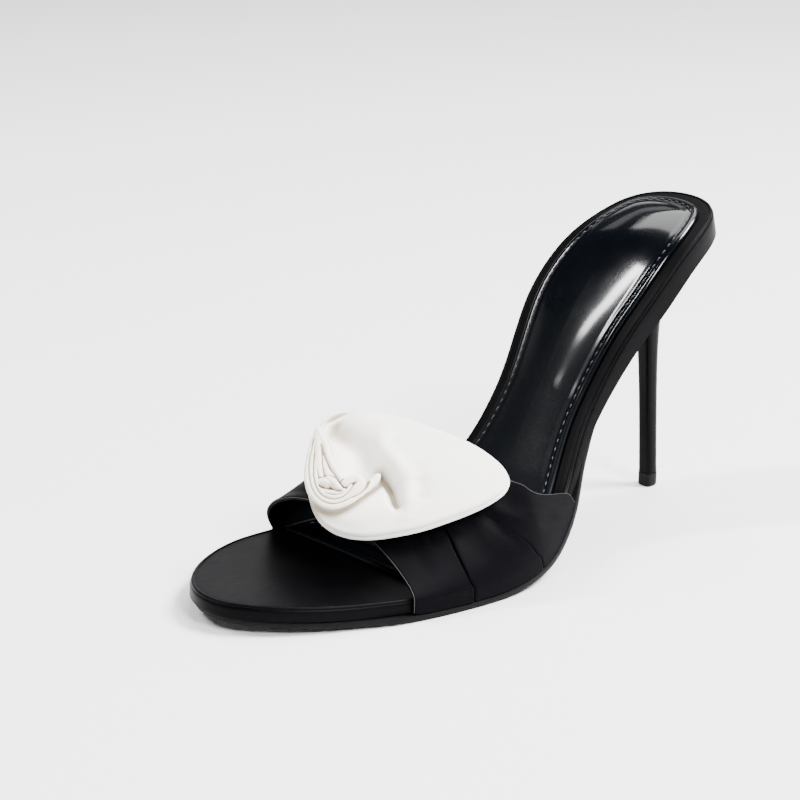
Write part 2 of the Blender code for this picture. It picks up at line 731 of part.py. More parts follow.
def main():
    """Builds the shoe."""
    for item in list(bpy.data.objects):
        bpy.data.objects.remove(item)
    shoe = bpy.data.collections.new("stiletto_mule")
    bpy.context.scene.collection.children.link(shoe)
    black_satin = satin("black_satin", SATIN_BLACK, SATIN_ROUGHNESS)
    build_outsole(shoe, satin("sole_leather", SOLE_BLACK, SOLE_ROUGHNESS))
    build_footbed(shoe, black_satin)
    build_sock(shoe, satin("sock_leather", SOCK_BLACK, SOCK_ROUGHNESS, SOCK_COAT))
    vamp = build_vamp(shoe, satin("vamp_satin", SATIN_BLACK, SATIN_ROUGHNESS))
    ivory = satin("ivory_satin", SATIN_IVORY, IVORY_ROUGHNESS)
    build_petal(shoe, ivory, vamp)
    build_bud(shoe, satin("bud_satin", SATIN_IVORY, IVORY_ROUGHNESS))
    build_heel(shoe, satin("heel_satin", SATIN_BLACK, HEEL_ROUGHNESS))
    build_top_piece(shoe, satin("lift_rubber", LIFT_BLACK, LIFT_ROUGHNESS))
    stand_on_origin(shoe)


if __name__ == "__main__":
    main()
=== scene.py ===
"""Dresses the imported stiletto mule: satin, glossy sock, pleats, rolled rosette, seams and stitches.

Metres, +Z up, toe to -Y, outer side of the left foot to +X. The last's own sizes repeat those of the
part's source, so each dressed piece lies where its solid lies.
"""

import logging
import math
from dataclasses import dataclass, field
from enum import Enum
from typing import Callable, Sequence

import bpy
import numpy as np
from mathutils import Matrix, Quaternion, Vector
from mathutils.bvhtree import BVHTree

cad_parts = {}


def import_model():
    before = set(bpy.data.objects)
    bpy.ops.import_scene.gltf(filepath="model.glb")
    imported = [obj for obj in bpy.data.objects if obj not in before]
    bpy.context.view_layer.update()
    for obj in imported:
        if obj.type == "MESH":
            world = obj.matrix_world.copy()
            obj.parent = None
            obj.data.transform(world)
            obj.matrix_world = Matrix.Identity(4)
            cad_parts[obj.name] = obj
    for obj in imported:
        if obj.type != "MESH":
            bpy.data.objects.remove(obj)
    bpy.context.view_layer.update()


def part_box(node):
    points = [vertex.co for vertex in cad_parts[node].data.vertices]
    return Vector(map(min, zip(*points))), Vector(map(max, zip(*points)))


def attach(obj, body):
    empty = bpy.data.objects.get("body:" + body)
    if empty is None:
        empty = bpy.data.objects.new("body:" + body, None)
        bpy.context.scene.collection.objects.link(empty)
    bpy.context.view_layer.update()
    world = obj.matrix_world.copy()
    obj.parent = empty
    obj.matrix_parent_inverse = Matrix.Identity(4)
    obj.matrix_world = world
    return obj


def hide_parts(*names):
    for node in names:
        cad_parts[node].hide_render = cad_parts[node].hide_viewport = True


LOG = logging.getLogger("stiletto_mule")
MM = 0.001

Colour = tuple[float, float, float, float]
Triple = tuple[float, float, float]
Path = tuple[tuple[float, float], ...]
Curve = Callable[[float], float]


# Curves through tables

def even_curve(places: Sequence[float], values: Sequence[float]) -> Curve:
    """Smooth curve through points, with even curvature.

    Args:
        places: Rising places of the points.
        values: Values at those places.

    Returns:
        The curve as a function of the place.
    """
    x, y = np.array(places, dtype=float), np.array(values, dtype=float)
    gaps = np.diff(x)
    count = len(x)
    matrix = np.eye(count)
    pull = np.zeros(count)
    for i in range(1, count - 1):
        matrix[i, i - 1:i + 2] = gaps[i - 1], 2 * (gaps[i - 1] + gaps[i]), gaps[i]
        pull[i] = 6 * ((y[i + 1] - y[i]) / gaps[i] - (y[i] - y[i - 1]) / gaps[i - 1])
    bend = np.linalg.solve(matrix, pull)

    def curve(at: float) -> float:
        """Value at a place."""
        k = int(np.clip(np.searchsorted(x, at) - 1, 0, count - 2))
        before, after, gap = at - x[k], x[k + 1] - at, gaps[k]
        return float((bend[k] * after ** 3 + bend[k + 1] * before ** 3) / (6 * gap)
                     + (y[k] / gap - bend[k] * gap / 6) * after
                     + (y[k + 1] / gap - bend[k + 1] * gap / 6) * before)

    return curve


def steady_curve(places: Sequence[float], values: Sequence[float]) -> Curve:
    """Smooth curve through points that never swings past them.

    Args:
        places: Rising places of the points.
        values: Values at those places.

    Returns:
        The curve as a function of the place.
    """
    x, y = np.array(places, dtype=float), np.array(values, dtype=float)
    gaps = np.diff(x)
    steps = np.diff(y) / gaps
    slopes = np.zeros(len(x))
    slopes[0], slopes[-1] = steps[0], steps[-1]
    for i in range(1, len(x) - 1):
        if steps[i - 1] * steps[i] > 0:
            near, far = 2 * gaps[i] + gaps[i - 1], gaps[i] + 2 * gaps[i - 1]
            slopes[i] = (near + far) / (near / steps[i - 1] + far / steps[i])

    def curve(at: float) -> float:
        """Value at a place."""
        k = int(np.clip(np.searchsorted(x, at) - 1, 0, len(x) - 2))
        t = (at - x[k]) / gaps[k]
        rise = y[k + 1] - y[k]
        return float(y[k] + gaps[k] * slopes[k] * t * (1 - t) ** 2
                     + rise * t * t * (3 - 2 * t) - gaps[k] * slopes[k + 1] * t * t * (1 - t))

    return curve


def held(value: float, low: float = 0.0, high: float = 1.0) -> float:
    """The value, held between two bounds."""
    return min(max(value, low), high)


def ease(at: float, start: float, end: float) -> float:
    """0 before start, 1 after end, soft between them."""
    t = held((at - start) / (end - start))
    return t * t * (3 - 2 * t)


def signed_power(value: float, power: float) -> float:
    """Power that keeps the sign."""
    return math.copysign(abs(value) ** power, value)


def spread(count: int, start: float, end: float) -> list[float]:
    """Even numbers from start to end."""
    return [start + (end - start) * k / (count - 1) for k in range(count)]


# The last

class Last:
    """The last's bottom, in metres from the heel's tip on the floor, with the same tables as the source."""

    LENGTH = 0.2062
    BALL, WAIST, SEAT = 0.0786, 0.0440, 0.0522
    SEAT_HEIGHT, OVERHANG, SPRING = 0.1038, 0.0128, 0.0031
    BOARD, BAND, SOLE, GAP = 0.0041, 0.0082, 0.0020, 0.0003
    # Where along the last the board grows to the seat's band, and where its layers turn towards plumb
    BAND_SPAN, UPRIGHT_SPAN, UPRIGHT_SHARE = (0.60, 0.82), (0.76, 0.92), 0.40
    # Steps over which slopes are read: a share of the length, and an angle round the rim
    SLOPE_STEP, RIM_STEP = 0.004, 0.02
    # Along, lift, rise, shift, ball, waist, seat
    STATIONS = (
        (0.00, 1.00, 0.000, 0.020, 0.000, 0.00, 0.000),
        (0.04, 0.81, 0.000, 0.000, 0.445, 0.00, 0.000),
        (0.10, 0.52, 0.000, -0.020, 0.692, 0.00, 0.000),
        (0.18, 0.22, 0.000, -0.026, 0.884, 0.00, 0.000),
        (0.27, 0.00, 0.000, 0.014, 0.975, 0.00, 0.000),
        (0.37, 0.00, 0.000, 0.060, 1.000, 0.00, 0.000),
        (0.48, 0.00, 0.032, 0.090, 0.930, 0.00, 0.000),
        (0.58, 0.00, 0.132, 0.064, 0.300, 0.72, 0.000),
        (0.68, 0.00, 0.365, -0.038, 0.000, 1.00, 0.000),
        (0.78, 0.00, 0.659, -0.079, 0.000, 0.40, 0.660),
        (0.87, 0.00, 0.852, -0.033, 0.000, 0.00, 0.990),
        (0.94, 0.00, 0.939, -0.003, 0.000, 0.00, 0.845),
        (0.98, 0.00, 0.979, 0.010, 0.000, 0.00, 0.610),
        (1.00, 0.00, 1.000, 0.015, 0.000, 0.00, 0.000),
    )

    def __init__(self, tip: Vector) -> None:
        """Sets the last over a heel tip.

        Args:
            tip: Place of the heel's tip on the floor, in the object's frame.
        """
        self.tip = tip
        along, lift, rise, shift, ball, waist, seat = (np.array(part) for part in zip(*self.STATIONS))
        self._half = even_curve(np.arccos(1 - 2 * along),
                                (ball * self.BALL + waist * self.WAIST + seat * self.SEAT) / 2)
        self._shift = even_curve(along, shift * self.BALL / 2)
        fore = self.SOLE + self.GAP + self.BOARD
        self._top = steady_curve(along, fore + lift * self.SPRING + rise * (self.SEAT_HEIGHT - fore))
        self.toe = self.OVERHANG - self.LENGTH

    def share(self, y: float) -> float:
        """Share of the length at a place, from the toe."""
        return (y - self.toe) / self.LENGTH

    def half(self, along: float) -> float:
        """Half width at a share of the length."""
        return max(self._half(self.turn_at(along)), 0.0)

    def shift(self, along: float) -> float:
        """How far the middle lies outwards."""
        return self._shift(held(along))

    def up(self, along: float) -> Vector:
        """Way in which layers stack: square to the bed, and nearer to plumb under the seat."""
        low, high = held(along - self.SLOPE_STEP), held(along + self.SLOPE_STEP)
        slope = (self._top(high) - self._top(low)) / ((high - low) * self.LENGTH)
        square = Vector((0, -slope, 1)).normalized()
        upright = self.UPRIGHT_SHARE * ease(along, *self.UPRIGHT_SPAN)
        return square.lerp(Vector((0, 0, 1)), upright).normalized()

    def point(self, x: float, y: float, above: float = 0.0) -> Vector:
        """Point over or under the bed's top, in the object's frame."""
        along = held(self.share(y))
        return self.tip + Vector((x, y, self._top(along))) + self.up(along) * above

    def board(self, along: float) -> float:
        """Thickness of the insole board."""
        return self.BOARD + (self.BAND - self.BOARD) * ease(along, *self.BAND_SPAN)

    def rim_plan(self, turn: float) -> Vector:
        """Rim in plan: turn 0 is the toe, positive goes round by the outer side, pi is the back."""
        turn = (turn + math.pi) % (2 * math.pi) - math.pi
        along = (1 - math.cos(turn)) / 2
        half = math.copysign(max(self._half(abs(turn)), 0.0), turn)
        return Vector((self.shift(along) + half, self.toe + along * self.LENGTH))

    def rim(self, turn: float, inset: float) -> Vector:
        """Rim in plan, moved inwards."""
        run = (self.rim_plan(turn + self.RIM_STEP) - self.rim_plan(turn - self.RIM_STEP)).normalized()
        return self.rim_plan(turn) + Vector((-run.y, run.x)) * inset

    def turn_at(self, along: float) -> float:
        """Turn of the outer rim at a share of the length."""
        return math.acos(1 - 2 * held(along))


# Workbench

class Bench:
    """Makes, shapes and finishes meshes with Blender's own edit mode tools."""

    @staticmethod
    def clear() -> None:
        """Leaves edit mode and selects nothing."""
        if bpy.context.object and bpy.context.object.mode != "OBJECT":
            bpy.ops.object.mode_set(mode="OBJECT")
        bpy.ops.object.select_all(action="DESELECT")

    @classmethod
    def pick(cls, item: bpy.types.Object) -> None:
        """Selects one object and makes it active."""
        cls.clear()
        item.select_set(True)
        bpy.context.view_layer.objects.active = item

    @classmethod
    def cloth(cls, name: str, columns: int, rows: int,
              place: Callable[[float, float], Vector]) -> bpy.types.Object:
        """Lays a flat grid on a shape, point by point.

        Args:
            name: Name of the piece.
            columns: Faces along the grid's first way.
            rows: Faces along its second way.
            place: Gives a point for two shares from 0 to 1.

        Returns:
            The new piece, with doubles merged and faces outwards.
        """
        cls.clear()
        bpy.ops.mesh.primitive_grid_add(x_subdivisions=columns, y_subdivisions=rows, size=2)
        item = bpy.context.object
        item.name = item.data.name = name
        for vert in item.data.vertices:
            u, v = (vert.co.x + 1) / 2, (vert.co.y + 1) / 2
            vert.co = place(round(u * columns) / columns, round(v * rows) / rows)
        cls.mend(item)
        return item

    @classmethod
    def mend(cls, item: bpy.types.Object, inside: bool = False) -> None:
        """Merges doubles and turns the faces outwards, or inwards."""
        cls.pick(item)
        bpy.ops.object.mode_set(mode="EDIT")
        bpy.ops.mesh.select_all(action="SELECT")
        bpy.ops.mesh.remove_doubles(threshold=2e-6)
        bpy.ops.mesh.normals_make_consistent(inside=inside)
        bpy.ops.object.mode_set(mode="OBJECT")

    @classmethod
    def rings(cls, name: str, table: Sequence[Sequence[Vector]]) -> bpy.types.Object:
        """Lays a skin over closed rings of points, all with the same count."""
        rows, count = len(table) - 1, len(table[0])

        def place(u: float, v: float) -> Vector:
            """Point of a ring."""
            return table[round(v * rows)][round(u * count) % count]

        return cls.cloth(name, count, rows, place)

    @classmethod
    def join(cls, pieces: Sequence[bpy.types.Object], name: str) -> bpy.types.Object:
        """Joins pieces into one with a new name."""
        cls.clear()
        for piece in pieces:
            piece.select_set(True)
        bpy.context.view_layer.objects.active = pieces[0]
        bpy.ops.object.join()
        item = bpy.context.object
        item.name = item.data.name = name
        return item

    @classmethod
    def modify(cls, item: bpy.types.Object, kind: str, **settings: object) -> None:
        """Adds a modifier and applies it.

        Args:
            item: The piece.
            kind: Blender's type of modifier.
            **settings: The modifier's own settings.
        """
        cls.pick(item)
        modifier = item.modifiers.new(kind.lower(), kind)
        for key, value in settings.items():
            setattr(modifier, key, value)
        bpy.ops.object.modifier_apply(modifier=modifier.name)

    @classmethod
    def smooth(cls, item: bpy.types.Object, angle: float = 50) -> None:
        """Smooth shading up to an angle in degrees."""
        cls.pick(item)
        bpy.ops.object.shade_smooth_by_angle(angle=math.radians(angle))

    @classmethod
    def paint_crease_shade(cls, item: bpy.types.Object, depth: float, rounds: int,
                shade: Callable[[np.ndarray], np.ndarray] | None = None) -> None:
        """Writes the attribute hollow, for painted shade in creases: how deep each point lies in a crease,
        from 0 to 1.

        Args:
            item: The finished piece.
            depth: The depth in metres that counts as 1.
            rounds: How often each point's neighbours are averaged; more rounds find wider creases.
            shade: Further painted shade of the points, 0 to 1; each point keeps the larger of the two.
        """
        mesh = item.data
        count = len(mesh.vertices)
        places, ways = np.zeros(3 * count), np.zeros(3 * count)
        mesh.vertices.foreach_get("co", places)
        mesh.vertices.foreach_get("normal", ways)
        pairs = np.zeros(2 * len(mesh.edges), dtype=np.int64)
        mesh.edges.foreach_get("vertices", pairs)
        one, other = pairs.reshape(-1, 2).T
        links = np.bincount(pairs, minlength=count)[:, None]
        places = places.reshape(-1, 3)
        soft = places.copy()
        for _ in range(rounds):
            total = np.zeros_like(soft)
            np.add.at(total, one, soft[other])
            np.add.at(total, other, soft[one])
            soft = (soft + total / links) / 2
        sunk = ((soft - places) * ways.reshape(-1, 3)).sum(axis=1) / depth
        if shade is not None:
            sunk = np.maximum(sunk, shade(places))
        made = mesh.attributes.new("hollow", "FLOAT", "POINT")
        made.data.foreach_set("value", np.clip(sunk, 0, 1).astype(np.float32))

    @classmethod
    def tube(cls, name: str, path: Sequence[Vector], radius: float, sides: int = 10,
             closed: bool = False) -> bpy.types.Object:
        """Round bead along a path; open ends close to a point.

        Args:
            name: Name of the piece.
            path: Points that the bead follows.
            radius: Its radius.
            sides: Faces round it.
            closed: Whether its end meets its start.

        Returns:
            The new piece.
        """
        count = len(path)
        frames = []
        side = Vector((0, 0, 1))
        for i, here in enumerate(path):
            before = path[(i - 1) % count] if closed else path[max(i - 1, 0)]
            after = path[(i + 1) % count] if closed else path[min(i + 1, count - 1)]
            run = (after - before).normalized()
            side = (side - run * side.dot(run)).normalized()
            frames.append((here, side, run.cross(side)))
        rows = count if closed else count - 1

        def place(u: float, v: float) -> Vector:
            """Point of the bead's skin."""
            i = round(v * rows)
            here, across, up = frames[i % count]
            width = 0.0 if not closed and i in (0, rows) else radius
            angle = 2 * math.pi * u
            return here + (across * math.cos(angle) + up * math.sin(angle)) * width

        return cls.cloth(name, sides, rows, place)


def nearest_on_path(points: np.ndarray, path: np.ndarray) -> tuple[np.ndarray, np.ndarray]:
    """Distance of many points to one open path.

    Args:
        points: Points, one a row.
        path: The path's own points, one a row.

    Returns:
        Distances, and shares along the path from 0 to 1.
    """
    best = np.full(len(points), np.inf)
    share = np.zeros(len(points))
    lengths = np.linalg.norm(np.diff(path, axis=0), axis=1)
    ends = np.concatenate([[0.0], np.cumsum(lengths)])
    for k, (a, b) in enumerate(zip(path[:-1], path[1:])):
        run = b - a
        t = np.clip((points - a) @ run / (run @ run), 0, 1)
        gap = np.linalg.norm(points - (a + t[:, None] * run), axis=1)
        closer = gap < best
        best[closer] = gap[closer]
        share[closer] = (ends[k] + t[closer] * lengths[k]) / ends[-1]
    return best, share


# Shader writing

class Wire:
    """A socket of a material, on which Python's operators add Math nodes."""

    def __init__(self, loom: "Loom", socket: object) -> None:
        """Wraps a socket or a plain number."""
        self.loom, self.socket = loom, socket

    def _math(self, operation: str, other: object = 0.0, flip: bool = False) -> "Wire":
        """One Math node on this and another value."""
        pair = (other, self) if flip else (self, other)
        return self.loom.node("ShaderNodeMath", {"operation": operation}, pair)

    def __add__(self, other: object) -> "Wire":
        """Sum."""
        return self._math("ADD", other)

    __radd__ = __add__

    def __mul__(self, other: object) -> "Wire":
        """Product."""
        return self._math("MULTIPLY", other)

    __rmul__ = __mul__

    def __sub__(self, other: object) -> "Wire":
        """Difference."""
        return self._math("SUBTRACT", other)

    def __rsub__(self, other: object) -> "Wire":
        """Difference from a number."""
        return self._math("SUBTRACT", other, flip=True)


class Loom:
    """Builds one material's nodes."""

    def __init__(self, name: str) -> None:
        """Starts a material with a Principled shader."""
        self.material = bpy.data.materials.new(name)
        self.material.use_nodes = True
        self.tree = self.material.node_tree
        self.shader = self.tree.nodes["Principled BSDF"]

    def node(self, kind: str, settings: dict[str, object] | None = None,
             inputs: Sequence[object] | dict[object, object] = (), output: object = 0) -> Wire:
        """Adds a node.

        Args:
            kind: Blender's type of node.
            settings: Attributes, set before the sockets.
            inputs: Values or wires for the sockets, in order or by name.
            output: Name or number of the socket that is handed back.

        Returns:
            The wire of that socket.
        """
        made = self.tree.nodes.new(kind)
        for key, value in (settings or {}).items():
            setattr(made, key, value)
        pairs = inputs.items() if isinstance(inputs, dict) else enumerate(inputs)
        for key, value in pairs:
            self.feed(made.inputs[key], value)
        return Wire(self, made.outputs[output])

    def feed(self, socket: bpy.types.NodeSocket, value: object) -> None:
        """Links a wire to a socket, or sets the socket's number."""
        if isinstance(value, Wire):
            self.tree.links.new(value.socket, socket)
        else:
            socket.default_value = value

    def place(self, stretch: Triple = (1, 1, 1)) -> Wire:
        """Object coordinates in metres, stretched."""
        where = self.node("ShaderNodeTexCoord", output="Object")
        return self.node("ShaderNodeMapping", inputs={"Vector": where, "Scale": stretch})

    def noise(self, size: float, detail: float = 3.0, stretch: Triple = (1, 1, 1),
              rough: float = 0.55) -> Wire:
        """Soft random pattern with blobs of about one size, in metres."""
        return self.node("ShaderNodeTexNoise", {"noise_dimensions": "3D"},
                         {"Vector": self.place(stretch), "Scale": 1 / size, "Detail": detail,
                          "Roughness": rough})

    def cells(self, size: float, stretch: Triple = (1, 1, 1)) -> Wire:
        """Distance to the edges of cells of about one size, in metres."""
        return self.node("ShaderNodeTexVoronoi", {"feature": "DISTANCE_TO_EDGE"},
                         {"Vector": self.place(stretch), "Scale": 1 / size})

    def mix(self, share: object, first: tuple[float, ...], second: tuple[float, ...]) -> Wire:
        """Colour between two colours."""
        return self.node("ShaderNodeMix", {"data_type": "RGBA"}, {0: share, 6: first, 7: second}, 2)

    def spans(self, value: Wire, low: float, high: float) -> Wire:
        """The value, stretched from low..high to 0..1 and held there."""
        return self.node("ShaderNodeMapRange", inputs={"Value": value, "From Min": low, "From Max": high})

    def bump(self, height: Wire, distance: float, strength: float = 1.0, under: Wire | None = None) -> Wire:
        """Normal with small relief, of a height in metres."""
        inputs: dict[object, object] = {"Height": height, "Distance": distance, "Strength": strength}
        if under is not None:
            inputs["Normal"] = under
        return self.node("ShaderNodeBump", inputs=inputs)

    def dress(self, **inputs: object) -> bpy.types.Material:
        """Feeds the shader's sockets, named with underscores, and hands back the material."""
        for name, value in inputs.items():
            self.feed(self.shader.inputs[name.replace("_", " ").title().replace("Ior", "IOR")], value)
        return self.material


class Gloss(Enum):
    """How a satin catches the light."""

    SOFT = 0.56
    CLEAR = 0.40
    TIGHT = 0.33


@dataclass(frozen=True)
class Satin:
    """Heavy satin: a dense weave with a soft sheen along its threads."""

    name: str
    deep: Colour
    light: Colour
    gloss: Gloss = Gloss.CLEAR
    shine: float = 0.5
    sheen: float = 0.15
    # Sizes of the broad cloud of tone, of the slubs and of the weave, and the weave's relief
    cloud: float = 0.016
    slub: float = 0.0011
    weave: float = 0.00022
    relief: float = 0.000010
    # Painted shade: colour deep in the creases, on a piece that has the attribute hollow
    crease: Colour | None = None

    def material(self) -> bpy.types.Material:
        """Material with weave, faint slubs, soft folds of colour and, where a crease colour is given, painted
        shade in the creases.
        """
        loom = Loom(self.name)
        cloud = loom.noise(self.cloud, 3.0)
        slub = loom.noise(self.slub, 2.0, (1.0, 0.18, 1.0))
        thread = loom.noise(self.weave, 1.0, (1.0, 0.35, 1.0))
        tone = loom.spans(cloud * 0.7 + slub * 0.3, 0.35, 0.65)
        rough = loom.spans(slub * 0.6 + cloud * 0.4, 0.3, 0.7) * 0.08 + (self.gloss.value - 0.04)
        relief = loom.bump(thread, self.relief, 0.6, loom.bump(slub, self.relief * 2.5, 0.5))
        colour = loom.mix(tone, self.deep, self.light)
        # Painted shade: the colour turns towards the crease colour as the attribute hollow grows
        if self.crease is not None:
            hollow = loom.node("ShaderNodeAttribute", {"attribute_name": "hollow"}, output="Fac")
            colour = loom.mix(hollow, colour, self.crease)
        return loom.dress(base_color=colour, roughness=rough, normal=relief, specular_ior_level=self.shine,
                          sheen_weight=self.sheen, sheen_roughness=0.35, sheen_tint=(*self.light[:3], 1.0))


@dataclass(frozen=True)
class GrainedLeather:
    """Glossy leather with a fine crinkled grain."""

    name: str
    deep: Colour
    light: Colour
    # Sizes of the grain's cells and of the broad wrinkles, and the relief of each
    grain: float = 0.0011
    relief: float = 0.00006
    wrinkle: float = 0.012
    wrinkle_relief: float = 0.0006
    rough: float = 0.11
    coat: float = 0.7
    # Where along the shoe the gloss begins and where it is full, in metres
    dull: float = 0.036
    bright: float = 0.064

    def material(self) -> bpy.types.Material:
        """Material with creased cells, broad wrinkles and an uneven gloss."""
        loom = Loom(self.name)
        cells = loom.spans(loom.cells(self.grain, (1.0, 0.6, 1.0)), 0.0, 0.22)
        crinkle = loom.noise(self.grain * 1.7, 4.0, (1.0, 0.7, 1.0), 0.62)
        broad = loom.noise(self.wrinkle, 3.0, (1.0, 0.5, 1.0))
        smooth = loom.spans(broad, 0.40, 0.62)
        height = cells * 0.35 + crinkle * 0.65
        relief = loom.bump(height, self.relief, 0.55, loom.bump(broad, self.wrinkle_relief, 0.25))
        along = loom.node("ShaderNodeSeparateXYZ", inputs=[loom.place()], output="Y")
        polish = loom.spans(along, self.dull, self.bright)
        rough = (1 - cells) * 0.06 + smooth * 0.05 + (1 - polish) * 0.30 + self.rough
        return loom.dress(base_color=loom.mix(cells * 0.6 + smooth * 0.4, self.deep, self.light),
                          roughness=rough, normal=relief, coat_weight=polish * self.coat, coat_roughness=0.10,
                          specular_ior_level=0.04)


@dataclass(frozen=True)
class SmoothLeather:
    """Half matt sole leather."""

    name: str
    deep: Colour
    light: Colour
    rough: float = 0.42
    pore: float = 0.0006
    scuff: float = 0.006

    def material(self) -> bpy.types.Material:
        """Material with pores and faint scuffs."""
        loom = Loom(self.name)
        pores = loom.spans(loom.cells(self.pore), 0.0, 0.3)
        scuff = loom.noise(self.scuff, 4.0, (1.0, 0.25, 1.0), 0.65)
        return loom.dress(base_color=loom.mix(loom.spans(scuff, 0.4, 0.7), self.deep, self.light),
                          roughness=scuff * 0.14 + self.rough, normal=loom.bump(pores, 0.00002, 0.4),
                          coat_weight=0.02, coat_roughness=0.3, specular_ior_level=0.07)


def dimmed(colour: Colour, share: float) -> Colour:
    """A colour at a share of its brightness."""
    return (*(share * part for part in colour[:3]), 1.0)


@dataclass(frozen=True)
class Thread:
    """Waxed sewing thread."""

    name: str
    colour: Colour
    twist: float = 0.0002

    def material(self) -> bpy.types.Material:
        """Material with a fine twist."""
        loom = Loom(self.name)
        twist = loom.noise(self.twist, 2.0)
        return loom.dress(base_color=loom.mix(twist, self.colour, dimmed(self.colour, 0.6)),
                          roughness=twist * 0.15 + 0.45, normal=loom.bump(twist, 0.00002, 0.5))


@dataclass(frozen=True)
class Floor:
    """Plain pale studio floor."""

    name: str = "studio_floor"
    colour: Colour = (0.80, 0.80, 0.805, 1.0)

    def material(self) -> bpy.types.Material:
        """Plain matt material with the faintest cloud."""
        loom = Loom(self.name)
        cloud = loom.noise(0.25, 2.0)
        return loom.dress(base_color=loom.mix(cloud, dimmed(self.colour, 0.985), self.colour), roughness=0.62)


def wear(item: bpy.types.Object, *materials: bpy.types.Material) -> None:
    """Gives a piece its materials, in the order of their slots."""
    item.data.materials.clear()
    for material in materials:
        item.data.materials.append(material)


def seat(item: bpy.types.Object, slot: str, *nodes: str) -> bpy.types.Object:
    """Rides a piece on the shoe, hides the solids it stands for, and reports it.

    Args:
        item: The finished piece.
        slot: A material slot's name; not used.
        *nodes: The CAD nodes that the piece replaces.

    Returns:
        The same piece.
    """
    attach(item, "root")
    if nodes:
        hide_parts(*nodes)
    LOG.info("%s: %d faces", item.name, len(item.data.polygons))
    return item


def finish(item: bpy.types.Object, angle: float, material: bpy.types.Material,
           slot: str, *nodes: str) -> None:
    """Smooths a piece up to an angle in degrees, gives it its material and seats it."""
    Bench.smooth(item, angle)
    wear(item, material)
    seat(item, slot, *nodes)


# Plates under the foot

@dataclass(frozen=True)
class Ring:
    """One ring of a plate: a distance in from its outline or a share of the way to its middle line."""

    inset: float
    lift: float
    share: float = 0.0


@dataclass
class Plate:
    """A layer laid on the last, built ring by ring from its underside round its edge to its top."""

    last: Last
    name: str
    rings: list[Ring]
    lift: Callable[[Ring, float], float]
    front: float = 0.0
    back: float = 1.0
    margin: Curve = field(default=lambda along: 0.0)
    around: int = 240
    cut: int = 36
    # Ends of the middle line: as shares of the length, or measured from a straight cut
    spine_ends: tuple[float, float] = (0.12, 0.91)
    spine_margin: float = 0.035

    def outline(self, inset: float) -> list[Vector]:
        """Outline in plan, moved inwards, with straight cuts where the plate stops short of the rim."""
        last = self.last
        start = last.turn_at(self.front + inset / last.LENGTH) if self.front > 0 else 0.0
        end = last.turn_at(self.back - inset / last.LENGTH) if self.back < 1 else math.pi

        def edge(turn: float) -> Vector:
            """Rim of this plate."""
            return last.rim(turn, inset + self.margin(last.share(last.rim_plan(turn).y)))

        if self.front <= 0 and self.back >= 1:
            return [edge(2 * math.pi * k / self.around) for k in range(self.around)]
        run = self.around - self.cut
        if self.front > 0:
            side = [edge(turn) for turn in spread(run, start, 2 * math.pi - start)]
        else:
            side = [edge(turn) for turn in spread(run, -end, end)]
        line = [side[-1].lerp(side[0], k / (self.cut + 1)) for k in range(1, self.cut + 1)]
        return side + line

    def spine(self, place: Vector) -> Vector:
        """Nearest point of the plate's middle line."""
        last = self.last
        first = self.front + self.spine_margin if self.front > 0 else self.spine_ends[0]
        final = self.back - self.spine_margin if self.back < 1 else self.spine_ends[1]
        y = held(place.y, last.toe + last.LENGTH * first, last.toe + last.LENGTH * final)
        return Vector((last.shift(last.share(y)), y))

    def build(self) -> bpy.types.Object:
        """The closed plate."""
        last = self.last
        table = []
        for ring in self.rings:
            line = []
            for plan in self.outline(ring.inset):
                plan = plan.lerp(self.spine(plan), ring.share)
                line.append(last.point(plan.x, plan.y, self.lift(ring, held(last.share(plan.y)))))
            table.append(line)
        return Bench.rings(self.name, table)


def rounded_edge(radius: float, steps: int, top: float, bottom: float, small: float = 0.0004) -> list[Ring]:
    """Rings up a plate's side with a round upper edge and a small lower one.

    Args:
        radius: Radius of the upper edge.
        steps: Rings over that edge.
        top: Height of the upper face.
        bottom: Height of the lower face.
        small: Radius of the lower edge.

    Returns:
        The rings, from below.
    """
    rings = [Ring(small, bottom), Ring(0.3 * small, bottom + 0.3 * small),
             Ring(0.0, bottom + small), Ring(0.0, (bottom + top - radius) / 2)]
    for k in range(steps + 1):
        angle = math.pi / 2 * k / steps
        rings.append(Ring(radius * (1 - math.cos(angle)), top - radius * (1 - math.sin(angle))))
    return rings


